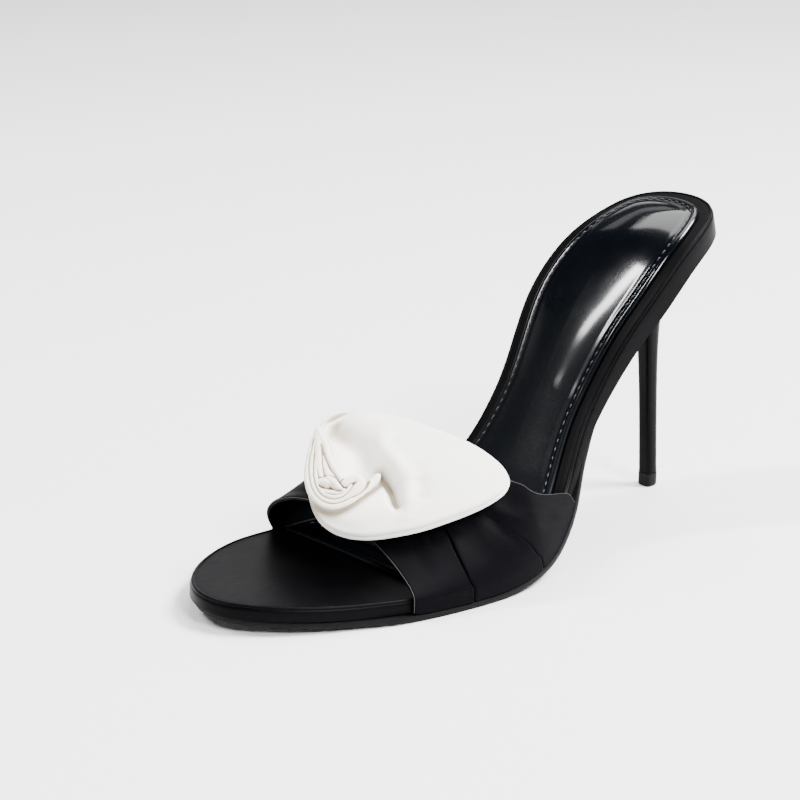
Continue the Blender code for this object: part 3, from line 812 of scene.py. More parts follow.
@dataclass
class Underfoot:
    """Outsole, insole board wrapped in satin, padded sock and its stitches."""

    last: Last
    satin: bpy.types.Material
    sock_leather: bpy.types.Material
    sole_leather: bpy.types.Material
    thread: bpy.types.Material
    rounding: float = 0.0016
    # Satin fold round the board's edge: how far in and down it lies, and its radius
    welt_inset: float = 0.0009
    welt_sink: float = 0.00030
    welt_radius: float = 0.00062
    welt_points: int = 300
    sock_inset: float = 0.0048
    sock_front: float = 0.273
    sock_gap: float = 0.0004
    sock_edge: float = 0.0012
    sock_crown: float = 0.0018
    # Width over which the sock's edge is rounded, its foot's inset, and the swell inside its channel
    sock_round: float = 0.0012
    sock_foot: float = 0.0001
    sock_swell: float = 0.00030
    groove: float = 0.0024
    groove_depth: float = 0.00016
    groove_width: float = 0.00042
    sole_end: float = 0.840
    sole_bevel: float = 0.0004
    arch_inset: float = 0.0028
    wall: float = 0.0017
    stitch: float = 0.0022
    stitch_gap: float = 0.0010
    stitch_rise: float = 0.00026
    stitch_radius: float = 0.00022
    stitch_points: int = 1600

    def __post_init__(self) -> None:
        """Sets the curves of the outsole's margin."""
        places = (0.0, 0.05, 0.14, 0.22, 0.56, 0.64, 0.72, 0.86)
        self._wall = steady_curve(places, (0, 0, 0.2, 1.1, 1.1, 0.3, 0, 0))
        self._arch = steady_curve(places, (0.6, 0.3, 0, 0, 0, 0.3, 1, 1))

    def build(self) -> None:
        """Builds and seats each layer."""
        self.board()
        self.welt()
        self.outsole()
        self.sock()
        self.stitches()

    def board(self) -> None:
        """Insole board with the satin drawn round its edge."""
        last = self.last
        rings = [Ring(0.0, -1.0, share) for share in (1.0, 0.5, 0.15)]
        rings += rounded_edge(self.rounding, 7, 0.0, -1.0)
        rings += [Ring(0.0030, 0.0), *(Ring(0.0050, 0.0, share) for share in (0.0, 0.2, 0.5, 1.0))]

        def lift(ring: Ring, along: float) -> float:
            """Height over the bed: the side's rings stretch with the board's thickness."""
            if ring.lift > -self.rounding - 1e-6:
                return ring.lift
            deep = last.board(along)
            share = (ring.lift + self.rounding) / (self.rounding - 1.0)
            return -self.rounding - share * (deep - self.rounding)

        finish(Plate(last, "footbed_satin", rings, lift).build(), 50, self.satin, "black_satin", "footbed")

    def welt(self) -> None:
        """Fine fold of satin that shows as a line round the top of the board's edge."""
        turns = [2 * math.pi * k / self.welt_points for k in range(self.welt_points)]
        path = [self.last.point(*self.last.rim(turn, self.welt_inset), above=-self.welt_sink)
                for turn in turns]
        item = Bench.tube("footbed_piping", path, self.welt_radius, 8, closed=True)
        finish(item, 80, self.satin, "black_satin")

    def sole_margin(self, along: float) -> float:
        """How far the outsole's edge lies in from the board's."""
        along = held(along, 0.0, 0.86)
        return self._arch(along) * self.arch_inset - self._wall(along) * self.wall

    def outsole(self) -> None:
        """Thin leather sole from the toe to the heel's breast."""
        last = self.last
        # Inset in metres and height as a share of the sole, up its side
        side = ((0.0001, -0.94), (0.0, -0.8), (0.0, -0.2), (0.0001, -0.06))
        rings = [Ring(self.sole_bevel, -1.0, share) for share in (1.0, 0.5, 0.1, 0.0)]
        rings += [Ring(inset, height) for inset, height in side]
        rings += [Ring(self.sole_bevel, 0.0, share) for share in (0.0, 0.1, 0.5, 1.0)]

        def lift(ring: Ring, along: float) -> float:
            """Height under the bed."""
            return -last.board(along) - last.GAP + ring.lift * last.SOLE

        item = Plate(last, "outsole_leather", rings, lift, back=self.sole_end, margin=self.sole_margin,
                     around=260, cut=20).build()
        finish(item, 40, self.sole_leather, "sole_leather", "outsole")

    def sock_height(self, inset: float, share: float) -> float:
        """Height of the sock's top over its underside: a soft edge, the sewn channel and the crown."""
        edge = self.sock_edge * math.sqrt(max(1 - (1 - min(inset / self.sock_round, 1.0)) ** 2, 0.0))
        channel = self.groove_depth * math.exp(-((inset - self.groove) / self.groove_width) ** 2)
        pad = self.sock_crown * (1 - (1 - share) ** 2) if share else 0.0
        swell = self.sock_swell * ease(inset, self.groove, self.groove + self.sock_round)
        return edge - channel + pad + swell

    def sock(self) -> None:
        """Padded sock with a sewn channel inside its edge."""
        insets = (0.0002, 0.0005, 0.0009, 0.0013, 0.0017, 0.0020, 0.0022, 0.0024, 0.0026, 0.0028, 0.0031,
                  0.0036, 0.0044)
        rings = [Ring(self.sock_foot, 0.0, share) for share in (1.0, 0.5, 0.1, 0.0)]
        rings += [Ring(0.0, self.sock_height(0.0, 0.0) + 0.0003)]
        rings += [Ring(inset, self.sock_height(inset, 0.0)) for inset in insets]
        rings += [Ring(insets[-1], self.sock_height(insets[-1], share), share)
                  for share in (0.06, 0.14, 0.24, 0.36, 0.5, 0.66, 0.82, 1.0)]
        item = Plate(self.last, "sock_leather_pad", rings, lambda ring, along: self.sock_gap + ring.lift,
                     front=self.sock_front, margin=lambda along: self.sock_inset, around=300, cut=40).build()
        Bench.smooth(item, 60)
        wear(item, self.sock_leather)
        seat(item, "sock_leather", "sock_lining")

    def stitches(self) -> None:
        """Sewn line in the sock's channel: short raised threads with gaps between them."""
        last = self.last
        start = last.turn_at(self.sock_front + 0.02)
        turns = spread(self.stitch_points, start, 2 * math.pi - start)
        deep = self.sock_inset + self.groove
        path = [last.point(*last.rim(turn, deep), above=self.sock_gap + self.sock_height(self.groove, 0.0))
                for turn in turns]
        run = np.concatenate([[0.0], np.cumsum([(b - a).length for a, b in zip(path, path[1:])])])
        step = self.stitch + self.stitch_gap
        pieces = []
        for k in range(int(run[-1] / step)):
            ends = [path[min(int(np.searchsorted(run, k * step + at)), len(path) - 1)]
                    for at in spread(5, 0.0, self.stitch)]
            lifted = [point + last.up(0.5) * self.stitch_rise * math.sin(math.pi * i / 4)
                      for i, point in enumerate(ends)]
            pieces.append(Bench.tube(f"stitch_{k}", lifted, self.stitch_radius, 6))
        finish(Bench.join(pieces, "sock_stitches"), 80, self.thread, "sock_leather")


# Vamp

class Fold(Enum):
    """Kinds of soft crease in the vamp, each with the sign of its height."""

    RIDGE = 1.0
    TROUGH = -1.0


@dataclass(frozen=True)
class Crease:
    """Soft crease: places on the vamp as (degrees round the foot, share from front edge to throat)."""

    kind: Fold
    path: Path
    width: float
    height: float


@dataclass(frozen=True)
class Lap:
    """Pleat whose front panel lies over the rear one, right across the vamp.

    Each row of path gives degrees round the foot, share from front edge to throat, and height in mm.
    """

    path: tuple[Triple, ...]
    reach: float
    # Over the fold's edge and down into the sunk line beside it: mm towards the throat, share of the height
    edge: Path = (
        (-1.20, 0.36), (-0.70, 0.42), (-0.36, 0.44), (-0.14, 0.38), (0.00, 0.22), (0.05, -0.05),
        (0.02, -0.40), (0.04, -0.74), (0.22, -0.90), (0.46, -0.78), (0.66, -0.40), (0.86, -0.08),
        (1.30, 0.06), (2.60, 0.02),
    )

    def at(self, around: float) -> tuple[float, float]:
        """Place and height of the pleat at an angle round the foot."""
        turn = math.degrees(around)
        turns = [row[0] for row in self.path]
        return (steady_curve(turns, [row[1] for row in self.path])(turn),
                float(np.interp(turn, turns, [row[2] for row in self.path])))


@dataclass
class Vamp:
    """Pleated satin band over the foot, with a leather lining and rolled edges."""

    last: Last
    satin: bpy.types.Material
    lining: bpy.types.Material
    edge_line: bpy.types.Material
    wall: float = 0.0014
    fit: float = 0.0003
    instep: float = 0.0330
    lean: float = -0.0020
    skirt: float = 0.12
    power: float = 0.80
    power_outer: float = 1.45
    power_inner: float = 1.00
    # Shares of the last's length: front edge over the foot and at its outer and inner hem, then the throat
    front: float = 0.243
    front_hems: tuple[float, float] = (0.239, 0.272)
    throat: float = 0.420
    throat_hem: float = 0.586
    columns: int = 240
    panel_rows: int = 26
    roll: float = 0.00070
    # Radius of the painted highlight line along each rolled edge's crest
    line: float = 0.00011
    laps: tuple[Lap, ...] = (
        Lap(((0, 0.270, 0.80), (11, 0.275, 0.90), (21, 0.300, 1.00), (33, 0.350, 1.00), (41, 0.400, 0.95),
             (58, 0.470, 0.90), (75, 0.470, 0.90), (96, 0.420, 0.95), (112, 0.360, 1.00), (130, 0.300, 1.00),
             (150, 0.270, 0.95), (168, 0.270, 0.85), (180, 0.280, 0.75)), 7.0),
        Lap(((0, 0.665, 0.55), (8, 0.660, 0.60), (16, 0.690, 0.45), (26, 0.700, 0.12), (40, 0.690, 0.05),
             (75, 0.660, 0.20), (98, 0.620, 0.75), (115, 0.580, 0.95), (134, 0.560, 1.00), (152, 0.560, 0.90),
             (168, 0.580, 0.80), (180, 0.600, 0.70)), 6.0),
    )
    creases: tuple[Crease, ...] = (
        Crease(Fold.RIDGE, ((64, 0.80), (48, 0.80), (33, 0.785), (22, 0.80), (12, 0.82)), 2.1, 0.55),
        Crease(Fold.TROUGH, ((56, 0.70), (44, 0.71), (34, 0.69), (23, 0.67), (14, 0.665)), 1.8, 0.65),
        Crease(Fold.TROUGH, ((40, 0.88), (23, 0.90), (8, 0.90)), 1.8, 0.30),
        Crease(Fold.RIDGE, ((42, 0.60), (30, 0.575), (18, 0.585), (8, 0.60)), 2.4, 0.15),
        Crease(Fold.TROUGH, ((52, 0.56), (36, 0.48), (16, 0.44)), 3.4, 0.35),
        Crease(Fold.TROUGH, ((60, 0.28), (40, 0.17), (20, 0.12)), 2.8, 0.30),
        # Gathers that run from under the rosette
        Crease(Fold.RIDGE, ((60, 0.90), (50, 0.90), (38, 0.86)), 1.2, 0.35),
        Crease(Fold.TROUGH, ((62, 0.38), (50, 0.33), (36, 0.27)), 1.3, 0.35),
        Crease(Fold.TROUGH, ((86, 0.78), (98, 0.80), (112, 0.78)), 1.5, 0.40),
        Crease(Fold.TROUGH, ((88, 0.30), (100, 0.26), (116, 0.22)), 1.5, 0.40),
        # Inner side
        Crease(Fold.RIDGE, ((104, 0.82), (122, 0.80), (142, 0.82), (160, 0.86)), 2.8, 0.50),
        Crease(Fold.TROUGH, ((106, 0.72), (124, 0.70), (146, 0.71), (166, 0.74)), 2.0, 0.40),
        Crease(Fold.TROUGH, ((102, 0.16), (120, 0.12), (140, 0.11)), 2.4, 0.30),
        Crease(Fold.RIDGE, ((108, 0.46), (128, 0.42), (150, 0.41), (170, 0.43)), 2.4, 0.35),
    )

    def __post_init__(self) -> None:
        """Sets the curve of the instep."""
        self._crest = steady_curve((0.20, 0.25, 0.30, 0.36, 0.42, 0.50, 0.60),
                                   (0.49, 0.54, 0.66, 0.82, 1.0, 1.22, 1.45))

    def crest(self, along: float) -> float:
        """Height of the inner face over the bed at the middle."""
        return self._crest(along) * self.instep

    def edges(self, bow: float) -> tuple[float, float]:
        """Shares of the front edge and of the throat at an angle of the arch."""
        over = math.sin(bow)
        hem = self.front_hems[0 if math.cos(bow) > 0 else 1]
        return (self.front + (hem - self.front) * (1 - over) ** 2,
                self.throat + (self.throat_hem - self.throat) * (1 - over) ** 1.5)

    def inner(self, around: float, place: float) -> Vector:
        """Point of the inner face; around runs 0 to pi over the foot, place 0 to 1 to the throat."""
        last = self.last
        low = max(1 - around / self.skirt, 1 - (math.pi - around) / self.skirt, 0.0)
        bow = held((around - self.skirt) / (math.pi - 2 * self.skirt) * math.pi, 0.0, math.pi)
        front, throat = self.edges(bow)
        along = front + (throat - front) * place
        side = math.cos(bow)
        toe_power = self.power_inner + (self.power_outer - self.power_inner) * ease(side, -0.5, 0.5)
        power = self.power + (toe_power - self.power) * (1 - place)
        over = math.sin(bow) ** power if 0.0 < bow < math.pi else 0.0
        x = last.shift(along) + self.lean * over + (last.half(along) + self.fit) * signed_power(side, power)
        return last.point(x, last.toe + along * last.LENGTH, self.crest(along) * over - last.BOARD * low)

    def outwards(self, around: float, place: float) -> Vector:
        """Outward normal of the inner face."""
        low, high = max(around - 0.01, 0.0), min(around + 0.01, math.pi)
        across = self.inner(high, place) - self.inner(low, place)
        along = self.inner(around, place + 0.01) - self.inner(around, place - 0.01)
        return along.cross(across).normalized()

    @staticmethod
    def normals(table: np.ndarray) -> np.ndarray:
        """Outward normals of the inner face's rows of points."""
        normal = np.cross(np.gradient(table, axis=0), np.gradient(table, axis=1))
        return normal / np.linalg.norm(normal, axis=2, keepdims=True)

    def column(self, around: float) -> list[Triple]:
        """Rows of one column: place on the lining, place on the satin, and height of the satin in metres."""
        marks = [lap.at(around) for lap in self.laps]
        rows: list[Triple] = []
        start = 0.0
        for lap, (place, height) in zip(self.laps, marks):
            step = (self.inner(around, place + 0.01) - self.inner(around, place - 0.01)).length / 0.02
            first = place + lap.edge[0][0] * MM / step
            for k in range(self.panel_rows):
                here = start + (first - start) * k / self.panel_rows
                rise = lap.edge[0][1] * math.exp(-(first - here) * step / (lap.reach * MM))
                rows.append((here, here, rise * height * MM))
            for k, (off, share) in enumerate(lap.edge):
                inside = first + (lap.edge[-1][0] - lap.edge[0][0]) * MM / step * k / (len(lap.edge) - 1)
                rows.append((inside, place + off * MM / step, share * height * MM))
            start = place + lap.edge[-1][0] * MM / step + 0.004
        rows += [(here, here, 0.0) for here in spread(self.panel_rows + 6, start, 1.0)]
        return rows

    def soften(self, points: np.ndarray, normals: np.ndarray, places: np.ndarray) -> np.ndarray:
        """Lays the soft creases on the outer face.

        Args:
            points: Its points, one a row.
            normals: Their outward normals.
            places: Their shares from the front edge to the throat.

        Returns:
            The moved points.
        """
        rise = np.zeros(len(points))
        for crease in self.creases:
            path = np.array([self.inner(math.radians(a), p) + self.outwards(math.radians(a), p) * self.wall
                             for a, p in crease.path])
            ways = [even_curve(range(len(path)), path[:, axis]) for axis in range(3)]
            fine = np.array([[way(t) for way in ways] for t in spread(8 * len(path), 0.0, len(path) - 1.0)])
            gap, share = nearest_on_path(points, fine)
            fade = np.clip(share / 0.30, 0, 1) * np.clip((1 - share) / 0.30, 0, 1)
            fade = fade * fade * (3 - 2 * fade)
            rise += np.exp(-(gap / (crease.width * MM)) ** 2) * crease.kind.value * crease.height * MM * fade
        # No crease reaches the two edges
        edge = np.clip(places / 0.08, 0, 1) * np.clip((1 - places) / 0.10, 0, 1)
        return points + normals * (rise * edge)[:, None]

    def faces(self) -> tuple[np.ndarray, np.ndarray]:
        """Inner and outer face as rows of points over columns, front edge first."""
        share = spread(self.columns + 1, 0.0, 1.0)
        arounds = [math.pi * ((1 - math.cos(math.pi * k)) / 2 * 0.35 + k * 0.65) for k in share]
        inner, under, rises, places = [], [], [], []
        for around in arounds:
            around = min(around, math.pi)
            rows = self.column(around)
            line = [self.inner(around, inside) for inside, _, _ in rows]
            inner.append(line)
            under.append([point if place == inside else self.inner(around, place)
                          for point, (inside, place, _) in zip(line, rows)])
            rises.append([self.wall + rise for _, _, rise in rows])
            places.append([place for _, place, _ in rows])
        inside, skin = np.array(inner).swapaxes(0, 1), np.array(under).swapaxes(0, 1)
        ways = self.normals(inside)
        skin = skin + ways * np.array(rises).T[:, :, None]
        soft = self.soften(skin.reshape(-1, 3), ways.reshape(-1, 3), np.array(places).T.reshape(-1))
        return inside, soft.reshape(skin.shape)

    def build(self) -> None:
        """Builds and seats the band, its rolled edges and the painted highlight lines along them."""
        inner, outer = self.faces()
        low = [(inner[:, k] + outer[:, k]) / 2 for k in (0, -1)]
        inside = np.concatenate([low[0][:, None], inner, low[1][:, None]], axis=1)
        outside = np.concatenate([low[0][:, None], outer, low[1][:, None]], axis=1)
        skin = [*inside[::-1], *outside]
        layers, columns = len(skin), self.columns + 2

        def place(u: float, v: float) -> Vector:
            """Point of the closed wall: in over the lining, out over the satin."""
            return Vector(skin[round(v * layers) % layers][round(u * columns)])

        item = Bench.cloth("vamp_satin_band", columns, layers, place)
        wear(item, self.satin, self.lining)
        rows, count = inner.shape[:2]
        corners = [r * count + c for r in range(rows - 1) for c in range(count - 1)]
        tree = BVHTree.FromPolygons([Vector(point) for point in inner.reshape(-1, 3)],
                                    [(k, k + 1, k + count + 1, k + count) for k in corners])
        for face in item.data.polygons:
            face.material_index = int(tree.find_nearest(face.center)[3] < 0.0001)
        Bench.smooth(item, 60)
        self.area(outer)
        seat(item, "vamp_satin", "vamp")
        self.edging(inner, outer)

    @staticmethod
    def area(table: np.ndarray) -> float:
        """Area of a table of points."""
        a, b = np.diff(table, axis=0)[:, :-1], np.diff(table, axis=1)[:-1]
        return float(np.linalg.norm(np.cross(a, b), axis=2).sum())

    def edging(self, inner: np.ndarray, outer: np.ndarray) -> None:
        """Rolled edges of the front and the throat, each with a fine pale line along its crest as a painted
        highlight.
        """
        for name, row, near in (("vamp_front", 0, 3), ("vamp_throat", -1, -4)):
            middle = inner[row] * 0.5 + outer[row] * 0.5
            away = middle - (inner[near] * 0.5 + outer[near] * 0.5)
            away /= np.linalg.norm(away, axis=1, keepdims=True)
            up = outer[row] - inner[row]
            up /= np.linalg.norm(up, axis=1, keepdims=True)
            # The pale line on the roll's crest is a painted highlight
            crest = middle + away * (self.roll - 0.00004) * 0.8 + up * self.roll * 0.6
            for kind, line, radius, material in (("roll", middle, self.roll, self.satin),
                                                 ("line", crest, self.line, self.edge_line)):
                item = Bench.tube(f"{name}_{kind}", [Vector(point) for point in line[::2]], radius)
                finish(item, 80, material, "vamp_satin")


# Rosette

@dataclass(frozen=True)
class Swell:
    """Ridge (height above 0) or valley on the petal, along a path in mm in the petal's plane."""

    path: Path
    width: float
    height: float
    start: float = 1.0
    end: float = 0.0


@dataclass(frozen=True)
class Roll:
    """Rolled edge of satin in the bud: a path in mm, its radius and its crest's height in mm."""

    path: Path
    radius: float
    crest: float
    start: float = 0.0
    end: float = 0.0
    end_radius: float | None = None


@dataclass
class Rosette:
    """Large folded petal and the rolled bud at its front end."""

    vamp: Vamp
    satin: bpy.types.Material
    bud_ivory_painted_shade: bpy.types.Material
    length: float = 0.0616
    width: float = 0.0455
    thick: float = 0.0085
    gap: float = 0.0003
    # Way it faces and way its tip points, its place on the vamp (radians round, share) and over it
    facing: Triple = (0.45, -0.45, 0.77)
    pointing: Triple = (0.786, 0.616, -0.100)
    seat_place: tuple[float, float] = (math.radians(71), 0.50)
    stand: float = 0.0028
    # Dip of the plain petal towards the bud: its place as shares of the half length and half width
    dip_place: tuple[float, float] = (-0.278, -0.235)
    around: int = 220
    rim_share: float = 0.16
    soft: float = 0.00035
    # Painted shadow on the petal along the bud's edge: its strength and width, and how many points of that
    # edge are seen
    bud_shadow_strength: float = 1.0
    bud_shadow_width: float = 0.0014
    seen_edge: int = 14
    outline: Path = (
        (0, 0.93), (10, 0.965), (22, 0.855), (38, 0.70), (56, 0.587), (76, 0.545), (96, 0.58), (114, 0.685),
        (130, 0.87), (144, 1.08), (158, 1.05), (175, 0.982), (200, 0.94), (222, 0.927), (240, 0.838),
        (256, 0.736), (275, 0.648), (300, 0.614), (325, 0.657), (345, 0.784), (360, 0.93),
    )
    swells: tuple[Swell, ...] = (
        # Big rolled ridge from the upper edge down to the lower one
        Swell(((-9.4, 14.0), (-9.2, 7.8), (-6.9, 5.0), (-3.4, 2.0), (-0.2, -1.1), (2.0, -4.8), (3.0, -9.7),
               (3.1, -14.7)), 3.0, 1.3, 0.4, 0.4),
        # Deep hook-shaped valley beside it
        Swell(((-7.6, -0.6), (-5.4, -2.8), (-3.5, -5.5), (-2.0, -8.3), (-0.9, -10.7), (1.2, -13.3)),
              1.7, -3.8, 1.0, 0.15),
        # Bowl behind the bud
        Swell(((-24.0, 12.0), (-19.5, 9.0), (-15.4, 5.4), (-12.6, 1.6), (-11.0, -1.0)), 5.4, -3.3, 0.9, 0.9),
        Swell(((4.4, -1.3), (6.2, -5.1), (6.9, -9.6)), 3.4, -0.55, 0.0, 0.0),
        Swell(((7.0, 6.0), (15.0, 3.0), (23.0, -0.5)), 5.5, 0.4, 0.0, 0.0),
        # Pillow under the bud, and the seam that sinks beside the bud's foot
        Swell(((-25.0, -18.0), (-18.5, -20.0), (-12.0, -18.6), (-6.4, -15.2), (-3.6, -11.8)),
              3.6, 0.5, 0.5, 0.5),
        Swell(((-29.0, -10.0), (-26.6, -13.9), (-23.8, -16.2), (-20.8, -17.7), (-18.0, -17.4), (-15.0, -15.6),
               (-12.0, -12.4), (-9.6, -8.6), (-7.4, -4.4)), 0.9, -0.7, 0.8, 1.0),
    )
    lift: tuple[float, float] = (0.50, -2.00)
    centre: tuple[float, float] = (-20.3, -3.5)
    # Edge of the bud in mm: the first points are seen, the last three are buried in the petal
    bud_edge: Path = (
        (-7.5, -0.5), (-7.8, -2.2), (-8.9, -4.5), (-10.5, -7.3), (-12.1, -9.9), (-13.8, -12.3),
        (-15.6, -13.9), (-17.5, -15.0), (-19.6, -15.5), (-21.9, -15.3), (-24.3, -14.2), (-27.1, -11.9),
        (-29.2, -8.2),
        (-30.4, -4.3), (-30.9, -0.8), (-31.0, 4.4), (-31.2, 9.0), (-30.4, 12.2), (-23.5, 12.5), (-14.5, 6.5),
        (-8.8, 2.0),
    )
    rolls: tuple[Roll, ...] = (
        # Outer ply, down the left side and round the bottom to the right arm, where it dives into the petal
        Roll(((-30.4, 11.0), (-30.3, 5.0), (-30.0, -0.2), (-29.3, -4.4), (-28.0, -8.2), (-26.1, -11.2),
              (-23.8, -13.3), (-21.6, -14.3), (-19.6, -14.5), (-17.8, -14.0), (-16.1, -13.0), (-14.5, -11.4),
              (-13.0, -9.2), (-11.5, -6.6), (-10.1, -4.0), (-8.6, -0.6)), 0.95, 8.8, -1.0, -2.2, 1.5),
        # Right arm, which curls over into the notch
        Roll(((-16.0, -11.0), (-14.4, -9.0), (-13.1, -6.8), (-12.8, -5.0), (-13.9, -4.2), (-15.5, -4.8),
              (-16.8, -6.0)), 1.4, 9.6, -0.5, -0.3, 2.0),
        # Two fine plies inside the outer one
        Roll(((-29.4, 8.0), (-29.1, 1.0), (-28.0, -4.5), (-26.3, -8.8), (-24.0, -11.7), (-21.6, -12.9),
              (-19.2, -13.0), (-17.0, -12.0), (-15.2, -10.2), (-14.1, -8.0)), 0.75, 9.1, -0.7, 0.0),
        Roll(((-28.0, 2.0), (-26.8, -4.0), (-25.2, -8.0), (-23.2, -10.6), (-21.2, -11.5), (-19.2, -11.5),
              (-17.3, -10.6), (-15.9, -8.9), (-15.3, -7.0)), 0.70, 9.35, -0.5, 0.0),
        # Broad band beside the outer ply, the ridge that comes down to the notch, and the hollow between
        Roll(((-29.2, 9.6), (-28.0, 5.4), (-27.0, 0.8), (-25.8, -3.2), (-24.6, -6.0)),
             1.9, 9.2, -0.6, -0.2, 1.6),
        Roll(((-30.0, 11.6), (-28.2, 9.0), (-26.3, 6.2), (-24.6, 2.8), (-22.8, -0.2), (-20.7, -2.9),
              (-18.8, -4.7), (-17.4, -6.2)), 1.3, 9.5, -0.9, -1.3, 0.9),
        Roll(((-27.0, 6.0), (-25.4, 1.5), (-23.6, -2.8), (-21.6, -4.8)), 2.2, 9.0, -0.5, 0.2),
        # Heart: two lobes over a lower lip, with the dark slit between them
        Roll(((-25.0, -7.4), (-23.8, -6.8), (-22.6, -7.0)), 1.25, 9.7, -0.2, 0.0),
        Roll(((-22.4, -5.9), (-20.9, -6.4), (-19.6, -7.5), (-18.4, -8.4)), 1.35, 9.8, 0.0, -0.3, 1.0),
        Roll(((-24.6, -9.0), (-22.6, -10.1), (-20.6, -10.2), (-18.6, -9.9), (-17.0, -8.9)),
             0.80, 9.4, -0.3, 0.1),
    )
    slit: Swell = Swell(((-24.6, -8.4), (-23.2, -8.9), (-21.9, -8.1), (-20.6, -8.4), (-19.0, -9.2),
                         (-17.6, -9.2)), 0.38, -1.7, 0.9, 0.3)
    # The bud's tucked foot: how far in and how far down, in mm, from the widest part of the outer ply
    tuck: Path = ((0.03, 0.35), (0.22, 0.75), (0.60, 1.15), (1.10, 1.55), (1.50, 2.20))

    def __post_init__(self) -> None:
        """Sets the rosette's own frame over the vamp."""
        self.out = Vector(self.facing).normalized()
        tip = Vector(self.pointing)
        self.tip = (tip - self.out * tip.dot(self.out)).normalized()
        self.across = self.out.cross(self.tip)
        self.origin = self.vamp.inner(*self.seat_place) + self.out * (self.vamp.wall + self.stand)
        self._reach = even_curve([turn for turn, _ in self.outline], [reach for _, reach in self.outline])

    def at(self, u: float, v: float, height: float) -> Vector:
        """Point of the rosette's frame."""
        return self.origin + self.tip * u + self.across * v + self.out * height

    def row(self, u: np.ndarray, v: np.ndarray, heights: np.ndarray) -> list[Vector]:
        """Points of the rosette's frame."""
        return [self.at(*point) for point in zip(u, v, heights)]

    def reach(self, angle: float) -> float:
        """Radius of the petal's outline."""
        return self._reach(math.degrees(angle) % 360) * self.length / 2

    def base(self, u: np.ndarray, v: np.ndarray) -> np.ndarray:
        """Plain crowned petal, as its solid has it."""
        long, wide = u / (self.length / 2), v / (self.width / 2)
        crown = np.sqrt(np.clip(1 - 0.80 * long ** 2 - 0.75 * wide ** 2, 0, None))
        from_bud = np.hypot(long - self.dip_place[0], wide - self.dip_place[1])
        return self.thick * (0.30 + 0.70 * crown - 0.30 * np.exp(-(from_bud / 0.30) ** 2))

    @staticmethod
    def along(ends: tuple[float, float], share: np.ndarray) -> np.ndarray:
        """Strength along a path that is full in its middle and falls to its two ends."""
        start, end = ends
        rise = np.clip(share / 0.25, 0, 1)
        fall = np.clip((1 - share) / 0.30, 0, 1)
        return (start + (1 - start) * rise * (2 - rise)) * (end + (1 - end) * fall * (2 - fall))

    @staticmethod
    def fine(path: Path) -> np.ndarray:
        """A path in metres with points close together."""
        ways = [even_curve(range(len(path)), [point[axis] for point in path]) for axis in (0, 1)]
        return np.array([[way(t) * MM for way in ways] for t in spread(6 * len(path), 0.0, len(path) - 1.0)])

    def petal_height(self, u: np.ndarray, v: np.ndarray) -> np.ndarray:
        """Height of the petal's face with its folds."""
        height = self.base(u, v)
        points = np.stack([u, v], axis=1)
        limit = np.array([self.reach(math.atan2(y, x)) for x, y in zip(u, v)])
        rim = np.clip((1 - np.hypot(u, v) / limit) / self.rim_share, 0, 1)
        fade = 0.12 + 0.88 * rim * rim * (3 - 2 * rim)
        for swell in self.swells:
            gap, share = nearest_on_path(points, self.fine(swell.path))
            form = np.exp(-(gap / (swell.width * MM)) ** 2) * fade
            height = height + form * swell.height * MM * self.along((swell.start, swell.end), share)
        return height

    def raised(self, path: Path) -> np.ndarray:
        """A path of the bud in metres, moved to where the bud stands."""
        return self.fine(path) + np.array(self.lift) * MM

    def bud_height(self, u: np.ndarray, v: np.ndarray) -> np.ndarray:
        """Height of the bud's rolls, far below the petal where there is none."""
        points = np.stack([u, v], axis=1)
        height = np.full(len(u), 0.0)
        for roll in self.rolls:
            gap, share = nearest_on_path(points, self.raised(roll.path))
            end_radius = roll.radius if roll.end_radius is None else roll.end_radius
            radius = (roll.radius + (end_radius - roll.radius) * share) * MM
            crest = roll.crest + roll.start * np.clip(1 - share / 0.35, 0, 1) + roll.end * np.clip(
                (share - 0.75) / 0.25, 0, 1)
            inside = np.clip(1 - (gap / radius) ** 2, 0, None)
            top = crest * MM - radius + radius * np.sqrt(inside)
            wall = crest * MM - radius - (gap - radius) * 4.0
            found = np.where(gap < radius, top, wall)
            blend = np.clip(0.5 + (found - height) / self.soft, 0, 1)
            height = height + (found - height) * blend + self.soft * blend * (1 - blend) / 2
        gap, share = nearest_on_path(points, self.raised(self.slit.path))
        dip = np.exp(-(gap / (self.slit.width * MM)) ** 2)
        dip = dip * self.along((self.slit.start, self.slit.end), share)
        return height + dip * self.slit.height * MM

    def shaded(self, places: np.ndarray) -> np.ndarray:
        """Painted shadow on points of the petal, in the crease under the bud's edge."""
        away = places - np.array(self.origin)
        points = np.stack([away @ np.array(self.tip), away @ np.array(self.across)], axis=1)
        gap, share = nearest_on_path(points, self.raised(self.bud_edge[:self.seen_edge]))
        return self.bud_shadow_strength * np.exp(-(gap / self.bud_shadow_width) ** 2) * self.along((1.0, 0.2), share)

    def petal(self) -> None:
        """Upper petal, its lip, the fold under it and the layer that lies on the vamp."""
        solid = solid_tree("vamp")
        shares = [0.0, 0.06] + [0.06 + 0.94 * (k / 64) ** 0.95 for k in range(1, 65)]
        angles = [2 * math.pi * k / self.around for k in range(self.around)]
        radii = np.array([self.reach(angle) for angle in angles])
        cos, sin = np.cos(angles), np.sin(angles)
        lip = 0.0003 - 0.0005 * sin - 0.0004 * np.clip(cos, 0, None) ** 4
        table = []
        for share in shares:
            u, v = (radii - lip) * share * cos, (radii - lip) * share * sin
            table.append(self.row(u, v, self.petal_height(u, v)))
        edge = self.petal_height((radii - lip) * cos, (radii - lip) * sin)
